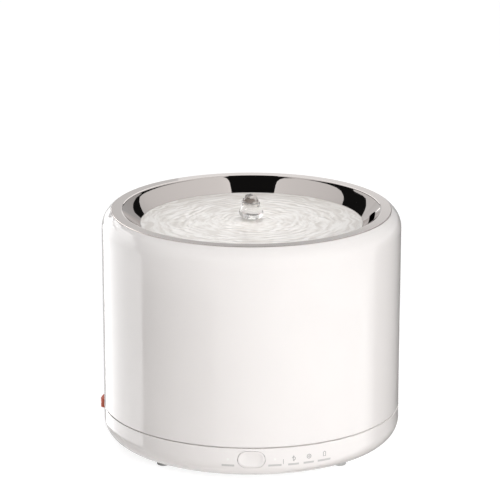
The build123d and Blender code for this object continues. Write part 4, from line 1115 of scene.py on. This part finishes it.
@dataclass
class Base:
    """The marks printed on the battery base.

    Attributes:
        icon_z: height of the pictograms' middles.
        bar_z: height of the plain bars under them.
        bar_height: height of a bar from edge to edge.
        bar_steps: faces along a bar.
        drop: azimuth of the water drop.
        filter: azimuth of the filter's mark.
        battery: azimuth of the battery's mark.
        divider: azimuth of the upright line beside the button.
        mode: azimuth of the mode lamps, to either side.
        line: width of a printed line.
        window: radius of a mode lamp's window.
        ring_steps: corners of the filter's ring.
        drop_steps: corners of the drop.
    """

    icon_z: float = 17.1 * MM
    bar_z: float = 12.9 * MM
    bar_height: float = 1.4 * MM
    bar_steps: int = 8
    drop: float = 16.1
    filter: float = 22.2
    battery: float = 28.7
    divider: float = 12.1
    mode: float = 8.9
    line: float = 0.42 * MM
    window: float = 0.8 * MM
    ring_steps: int = 32
    drop_steps: int = 24
    wall: WallPrint = field(default_factory=WallPrint)

    def printed(self, name: str, shape: bmesh.types.BMesh, ink: Finish) -> bpy.types.Object:
        """Makes a piece of the marks in a bmesh.

        Args:
            name: the piece's name.
            shape: the bmesh that holds the marks.
            ink: their finish.

        Returns:
            The finished piece.
        """
        made = to_object(name, mesh_from(name, shape, False), ink.material())
        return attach(made, "base")

    def dash(self, shape: bmesh.types.BMesh, azimuth: float, reach: float, z: float, width: float) -> None:
        """Prints a short level line.

        Args:
            shape: the bmesh that gets it.
            azimuth: of its middle.
            reach: from its middle to either end.
            z: its height.
            width: its width.
        """
        self.wall.stroke(shape, azimuth, [(-reach, z), (reach, z)], width)

    def drop_mark(self, shape: bmesh.types.BMesh) -> None:
        """Prints the water drop, whose round is open at its lower left, and the line under it."""
        belly, sink, tip, foot, reach = (size * MM for size in (1.05, 0.35, 1.75, 1.9, 0.45))
        outline = [(0.0, self.icon_z + tip)]
        for i in range(1, self.drop_steps):
            turn = math.radians(300 * i / self.drop_steps - 120)
            outline.append((belly * math.cos(turn), self.icon_z - sink + belly * math.sin(turn)))
        self.wall.stroke(shape, self.drop, outline, self.line, close=True)
        self.dash(shape, self.drop, reach, self.icon_z - foot, self.line)

    def filter_mark(self, shape: bmesh.types.BMesh) -> None:
        """Prints the filter's ring with three thin lines in it."""
        circle = ring_of_points(1.35 * MM, self.icon_z, self.ring_steps)
        self.wall.stroke(shape, self.filter, circle, self.line, close=True)
        for level, reach in ((-0.45, 0.55), (0.0, 0.75), (0.45, 0.55)):
            self.dash(shape, self.filter, reach * MM, self.icon_z + level * MM, 0.6 * self.line)

    def battery_mark(self, shape: bmesh.types.BMesh) -> None:
        """Prints the battery, upright, with its tip."""
        wide, tall, tip = 0.8 * MM, 1.35 * MM, 0.35 * MM
        corners = ((-wide, -tall), (wide, -tall), (wide, tall), (-wide, tall))
        can = [(x, self.icon_z + z) for x, z in corners]
        self.wall.stroke(shape, self.battery, can, self.line, close=True)
        self.dash(shape, self.battery, tip, self.icon_z + tall + tip, tip)

    def pictograms(self) -> bpy.types.Object:
        """Prints the drop, the filter's ring and the battery, with the upright line beside them.

        Returns:
            The printed piece.
        """
        shape = bmesh.new()
        self.drop_mark(shape)
        self.filter_mark(shape)
        self.battery_mark(shape)
        upright = [(0.0, z * MM) for z in (13.4, 15.0, 16.8)]
        self.wall.stroke(shape, self.divider, upright, 0.3 * MM)
        return self.printed("printed_pictograms", shape, GREY_INK)

    def bars(self) -> bpy.types.Object:
        """Prints the plain bars under the lamps and beside the button, and returns them."""
        shape = bmesh.new()
        places = (-self.mode, self.mode, self.drop, self.filter, self.battery)
        for azimuth, length in zip(places, (8.2, 8.6, 7.2, 7.2, 9.4)):
            steps = [length * MM * (i / self.bar_steps - 0.5) for i in range(self.bar_steps + 1)]
            self.wall.stroke(shape, azimuth, [(across, self.bar_z) for across in steps], self.bar_height)
        return self.printed("printed_bars", shape, PALE_INK)

    def lamps(self) -> bpy.types.Object:
        """Prints the two round windows of the mode lamps, and returns them."""
        shape = bmesh.new()
        for side in (-1, 1):
            self.wall.disc(shape, side * self.mode, self.icon_z, self.window)
        return self.printed("mode_lamp_windows", shape, LAMP_WINDOW)

    def build(self) -> list[bpy.types.Object]:
        """Builds the base's pieces and returns them."""
        return [self.pictograms(), self.bars(), self.lamps()]


# --- Water ---
WATER_IOR = 1.33
SKIN = 0.1 * MM  # what counts as the water's upper face
WANDER_SCALE = 34.0  # of the noise that bends the ripples
PATCH_SCALE = 55.0  # of the noise that makes some ripples weaker
WANDER = 5.0  # by how many waves the ripples, and the streaks, are bent
# The streaks are painted light reflections on the pool; the same ring pattern also shapes its fine bumps.
STREAK_SCALE = 60.0  # of the noise that bends the streaks
STREAK_TURNS = 2.8  # how short the streaks are round the axis
# The ball's dark patches are a painted dark refraction of the surroundings seen through it.
BALL_SCALE = 210.0  # of the ball's dark patches
SPRING_SCALE = 160.0  # of the spring's fine waves


@dataclass
class Water:
    """The water in the tray, its ripples, and the spring that wells up over the spout.

    Attributes:
        level: height of the water.
        edge: radius of its edge on the tray's slope.
        under: height of its lower face, just over the tray's floor.
        under_edge: radius of that face.
        rings: faces from the middle to the edge.
        steps: faces round the axis.
        swell: height of the ripples.
        wave: distance from crest to crest.
        seed: picks the ripples' wander.
        mound: how high the pool wells up under the spring.
        foot: radius of that mound, where it has sunk to about a third.
        neck: radius of the spring's neck.
        spring_height: from the spring's root to its top.
        swell_rise: height of the middle of the spring's lower swell over its root.
        swell_radius: radius of that swell.
        swell_tall: half of that swell's height.
        ball_rise: height of the middle of the ball on top over the root.
        ball_radius: radius of the ball.
        ball_tall: half of the ball's height.
        root: how deep the spring begins under the water.
        spring_rings: faces up the spring.
        spring_steps: faces round it.
        blend: how tightly the neck, the swell and the ball keep to their own forms.
        lean: how far the spring's top is off the axis, towards -X.
        tilt: how far the top's edge is lifted on one side.
        streak: width of a painted light streak on the pool, which also spaces the rings of its fine bumps.
        painted_shade_trough_tone: the pool's colour in the troughs of its ripples: a pale colour for the
            white studio seen in the water, painted darker as shade.
        painted_highlight_crest_tone: its colour on their crests, painted lighter as a highlight.
        painted_reflection_streak_tone: colour of the streaks, which are painted reflections of light.
        clear_tone: the spring's colour.
        painted_dark_refraction_tone: colour of the ball's dark patches, a painted dark refraction of the
            surroundings seen through it.
    """

    level: float = 147.6 * MM
    edge: float = 72.95 * MM
    under: float = 144.0 * MM
    under_edge: float = 65.8 * MM
    rings: int = 110
    steps: int = 300
    swell: float = 0.15 * MM
    wave: float = 4.8 * MM
    seed: float = 4.0
    mound: float = 2.6 * MM
    foot: float = 9.0 * MM
    neck: float = 4.6 * MM
    spring_height: float = 19.7 * MM
    swell_rise: float = 7.4 * MM
    swell_radius: float = 7.4 * MM
    swell_tall: float = 4.9 * MM
    ball_rise: float = 14.4 * MM
    ball_radius: float = 5.5 * MM
    ball_tall: float = 5.3 * MM
    root: float = 0.8 * MM
    spring_rings: int = 90
    spring_steps: int = 96
    blend: float = 3.5
    lean: float = 0.5 * MM
    tilt: float = 0.9 * MM
    streak: float = 3.1 * MM
    # The pool's tones are painted light: pale for the white studio seen in the water, painted shade in the
    # troughs, painted highlights on the crests and painted reflections in the streaks.
    painted_shade_trough_tone: RGB = (0.76, 0.71, 0.665)
    painted_highlight_crest_tone: RGB = (0.90, 0.855, 0.81)
    painted_reflection_streak_tone: RGB = (1.0, 0.965, 0.93)
    clear_tone: RGB = (1.0, 0.985, 0.97)
    painted_dark_refraction_tone: RGB = (0.09, 0.07, 0.06)

    def surface(
        self, graph: Graph, colour: Socket, normal: Socket, roughness: float, clear: float | Socket
    ) -> None:
        """Ends a material's graph with a water surface.

        Args:
            graph: the material's graph.
            colour: the colour's socket.
            normal: the bent normal's socket.
            roughness: how rough it is.
            clear: how much light goes through.
        """
        values = {"Base Color": colour, "Roughness": roughness, "IOR": WATER_IOR}
        values |= {"Transmission Weight": clear, "Normal": normal}
        graph.surface(graph.add("ShaderNodeBsdfPrincipled", values))

    def rippled(self) -> bpy.types.Material:
        """Builds the pool's material, with painted highlights on its crests and painted reflections
        streaked in rings.

        Returns:
            The material.
        """
        material, graph = blank_material("rippled_water")
        place = graph.place()
        parts = graph.parts(place)
        # Painted light: the troughs of the ripples are painted darker as shade, their crests lighter as
        # highlights, and the light streaks in rings are painted reflections.
        crest = graph.share(parts[2], self.level - self.swell * 0.8, self.level + self.swell * 0.7)
        colour = graph.blend(crest, self.painted_shade_trough_tone, self.painted_highlight_crest_tone)
        ring = graph.math("DIVIDE", graph.from_axis(parts), self.streak)
        turn = graph.math("MULTIPLY", graph.math("ARCTAN2", parts[1], parts[0]), STREAK_TURNS)
        wander = graph.math("MULTIPLY", graph.noise(place, STREAK_SCALE), WANDER)
        drawn = graph.vector(graph.math("ADD", ring, wander), turn)
        light = graph.share(graph.noise(drawn, 1.0, 3.0), 0.42, 0.58)
        colour = graph.blend(light, colour, self.painted_reflection_streak_tone)
        normal = graph.bump(graph.noise(drawn, 1.4, 3.0), 0.26 * MM, 0.8)
        self.surface(graph, colour, normal, 0.06, 0.05)
        return material

    def clear(self) -> bpy.types.Material:
        """Builds the spring's material, clear at the neck and broken up with painted dark refraction on the
        ball.

        Returns:
            The material.
        """
        material, graph = blank_material("clear_water")
        place = graph.place()
        swell_top = self.level + self.swell_rise + self.swell_tall * 0.7
        # Painted refraction: the ball is tinted dark in patches, more towards its top, for the dark
        # surroundings seen through it.
        shade = graph.share(graph.parts(place)[2], swell_top, self.level + self.ball_rise)
        patch = graph.share(graph.noise(place, BALL_SCALE, 1.0), 0.38, 0.54)
        colour = graph.blend(graph.math("MULTIPLY", shade, patch), self.clear_tone, self.painted_dark_refraction_tone)
        clear = graph.spread(shade, 0.8, 1.0, (0.0, 0.3))
        normal = graph.bump(graph.noise(place, SPRING_SCALE), 0.3 * MM, 0.3)
        self.surface(graph, colour, normal, 0.02, clear)
        return material

    def ripple_tree(self, material: bpy.types.Material) -> bpy.types.NodeTree:
        """Builds the tree that raises rings of ripples on a flat sheet.

        Args:
            material: the water's material.

        Returns:
            The geometry tree, with the inputs Swell, Wave, Level, Edge, Mound, Foot and Seed.
        """
        tree = bpy.data.node_groups.new("water_ripples", "GeometryNodeTree")
        tree.interface.new_socket("Geometry", in_out="INPUT", socket_type="NodeSocketGeometry")
        for name in ("Swell", "Wave", "Level", "Edge", "Mound", "Foot", "Seed"):
            tree.interface.new_socket(name, in_out="INPUT", socket_type="NodeSocketFloat")
        tree.interface.new_socket("Geometry", in_out="OUTPUT", socket_type="NodeSocketGeometry")
        graph = Graph(tree)
        given = graph.add("NodeGroupInput").outputs
        place = graph.add("GeometryNodeInputPosition").outputs[0]
        parts = graph.parts(place)
        shifted = graph.vector(given["Seed"], given["Seed"])
        moved = graph.add("ShaderNodeVectorMath", {0: place, 1: shifted}, operation="ADD").outputs[0]
        wander = graph.noise(moved, WANDER_SCALE)
        patch = graph.noise(moved, PATCH_SCALE, 1.0)
        radius = graph.from_axis(parts)
        turns = graph.math("DIVIDE", radius, given["Wave"])
        bent = graph.math("MULTIPLY_ADD", wander, WANDER, turns)
        wave = graph.math("SINE", graph.math("MULTIPLY", bent, FULL_TURN))
        strength = graph.math("MULTIPLY", graph.spread(patch, 0.15, 1.0, (0.35, 0.65)), given["Swell"])
        inside = graph.math("DIVIDE", radius, given["Edge"])
        calm = graph.spread(inside, 1.0, 0.0, (0.72, 0.97))
        top = graph.math("GREATER_THAN", parts[2], graph.math("SUBTRACT", given["Level"], SKIN))
        ripple = graph.math("MULTIPLY", wave, strength)
        ripple = graph.math("MULTIPLY", ripple, graph.math("MULTIPLY", calm, top))
        away = graph.math("POWER", graph.math("DIVIDE", radius, given["Foot"]), 2.0)
        mound = graph.math("EXPONENT", graph.math("MULTIPLY", away, -1.0))
        mound = graph.math("MULTIPLY", graph.math("MULTIPLY", mound, given["Mound"]), top)
        values = {"Geometry": given["Geometry"], "Offset": graph.vector(z=graph.math("ADD", ripple, mound))}
        shaped = graph.add("GeometryNodeSetPosition", values).outputs[0]
        solid = graph.add("GeometryNodeRealizeInstances", {0: shaped}).outputs[0]
        dressed = graph.add("GeometryNodeSetMaterial", {"Geometry": solid, "Material": material})
        graph.add("NodeGroupOutput", {0: dressed.outputs[0]})
        return tree

    def pool(self) -> bpy.types.Object:
        """Builds the pool as a closed body and raises its ripples.

        Returns:
            The finished pool.
        """
        profile = [(0.0, self.under), (self.under_edge, self.under), (self.edge, self.level)]
        profile += [(self.edge * (1 - i / self.rings), self.level) for i in range(1, self.rings + 1)]
        sheet = to_object("pool_sheet", revolved("pool_sheet", profile, self.steps))
        names = ("swell", "wave", "level", "edge", "mound", "foot", "seed")
        values = {name.capitalize(): getattr(self, name) for name in names}
        add_nodes_modifier(sheet, self.ripple_tree(self.rippled()), values)
        made = plain_from_modifiers("water_pool", sheet)
        for face in made.data.polygons:
            face.use_smooth = True
        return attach(made, "tray")

    def radius(self, rise: float) -> float:
        """Gives the spring's radius, before it wobbles.

        Args:
            rise: height over the spring's root.

        Returns:
            The radius where the neck, the swell and the ball flow together.
        """
        swell = (self.swell_rise, self.swell_radius, self.swell_tall)
        ball = (self.ball_rise, self.ball_radius, self.ball_tall)
        parts = [self.neck if rise < self.ball_rise else 0.0]
        for middle, wide, tall in (swell, ball):
            parts.append(wide * math.sqrt(max(0.0, 1.0 - ((rise - middle) / tall) ** 2)))
        return sum(part**self.blend for part in parts) ** (1 / self.blend)

    def spring(self) -> bpy.types.Object:
        """Builds the clear spring: a neck, a wide swell that is about to fall back, and a ball.

        Returns:
            The finished spring.
        """
        base, count = self.level - self.root, self.spring_rings
        profile = [(0.0, base)]
        for i in range(count + 1):
            rise = self.spring_height * (0.5 - 0.5 * math.cos(math.pi * i / count))
            profile.append((self.radius(rise) if i < count else 0.0, base + rise))
        mesh = revolved("water_spring", profile, self.spring_steps)
        for vertex in mesh.vertices:
            x, y, z = vertex.co
            rise, turn = (z - base) / self.spring_height, math.atan2(y, x)
            # The spring is a little oval and a little three-sided, and both turn as it rises.
            oval = 0.06 * math.sin(2 * turn + 6.0 * rise) * rise
            wobble = 1.0 + oval + 0.03 * math.sin(3 * turn - 9.0 * rise)
            lift = self.tilt * rise * math.sin(turn - 1.9) * math.hypot(x, y) / self.swell_radius
            vertex.co = (x * wobble - self.lean * rise, y * wobble, z + lift)
        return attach(to_object("water_spring", mesh, self.clear()), "tray")

    def build(self) -> list[bpy.types.Object]:
        """Builds the water's pieces and returns them."""
        return [self.pool(), self.spring()]


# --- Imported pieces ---
@dataclass
class Dressing:
    """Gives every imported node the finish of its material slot."""

    finishes: dict[str, Finish] = field(default_factory=lambda: dict(SLOT_FINISH))

    def build(self) -> int:
        """Dresses the nodes.

        Returns:
            How many were dressed.
        """
        rows = frame["record"]["subparts"]
        for row in rows:
            node = frame["nodes"][row["node"]]
            node.data.materials.clear()
            node.data.materials.append(self.finishes[row["material_slot"]].material())
        return len(rows)


def main() -> None:
    """Builds the studio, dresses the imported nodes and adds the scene's pieces."""
    logging.basicConfig(level=logging.INFO, format="%(name)s: %(message)s")
    Studio().build()
    LOG.info("dressed %d nodes", Dressing().build())
    for assembly in (Base(), Tray(), Water()):
        for piece in assembly.build():
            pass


if __name__ == "__main__":
    main()
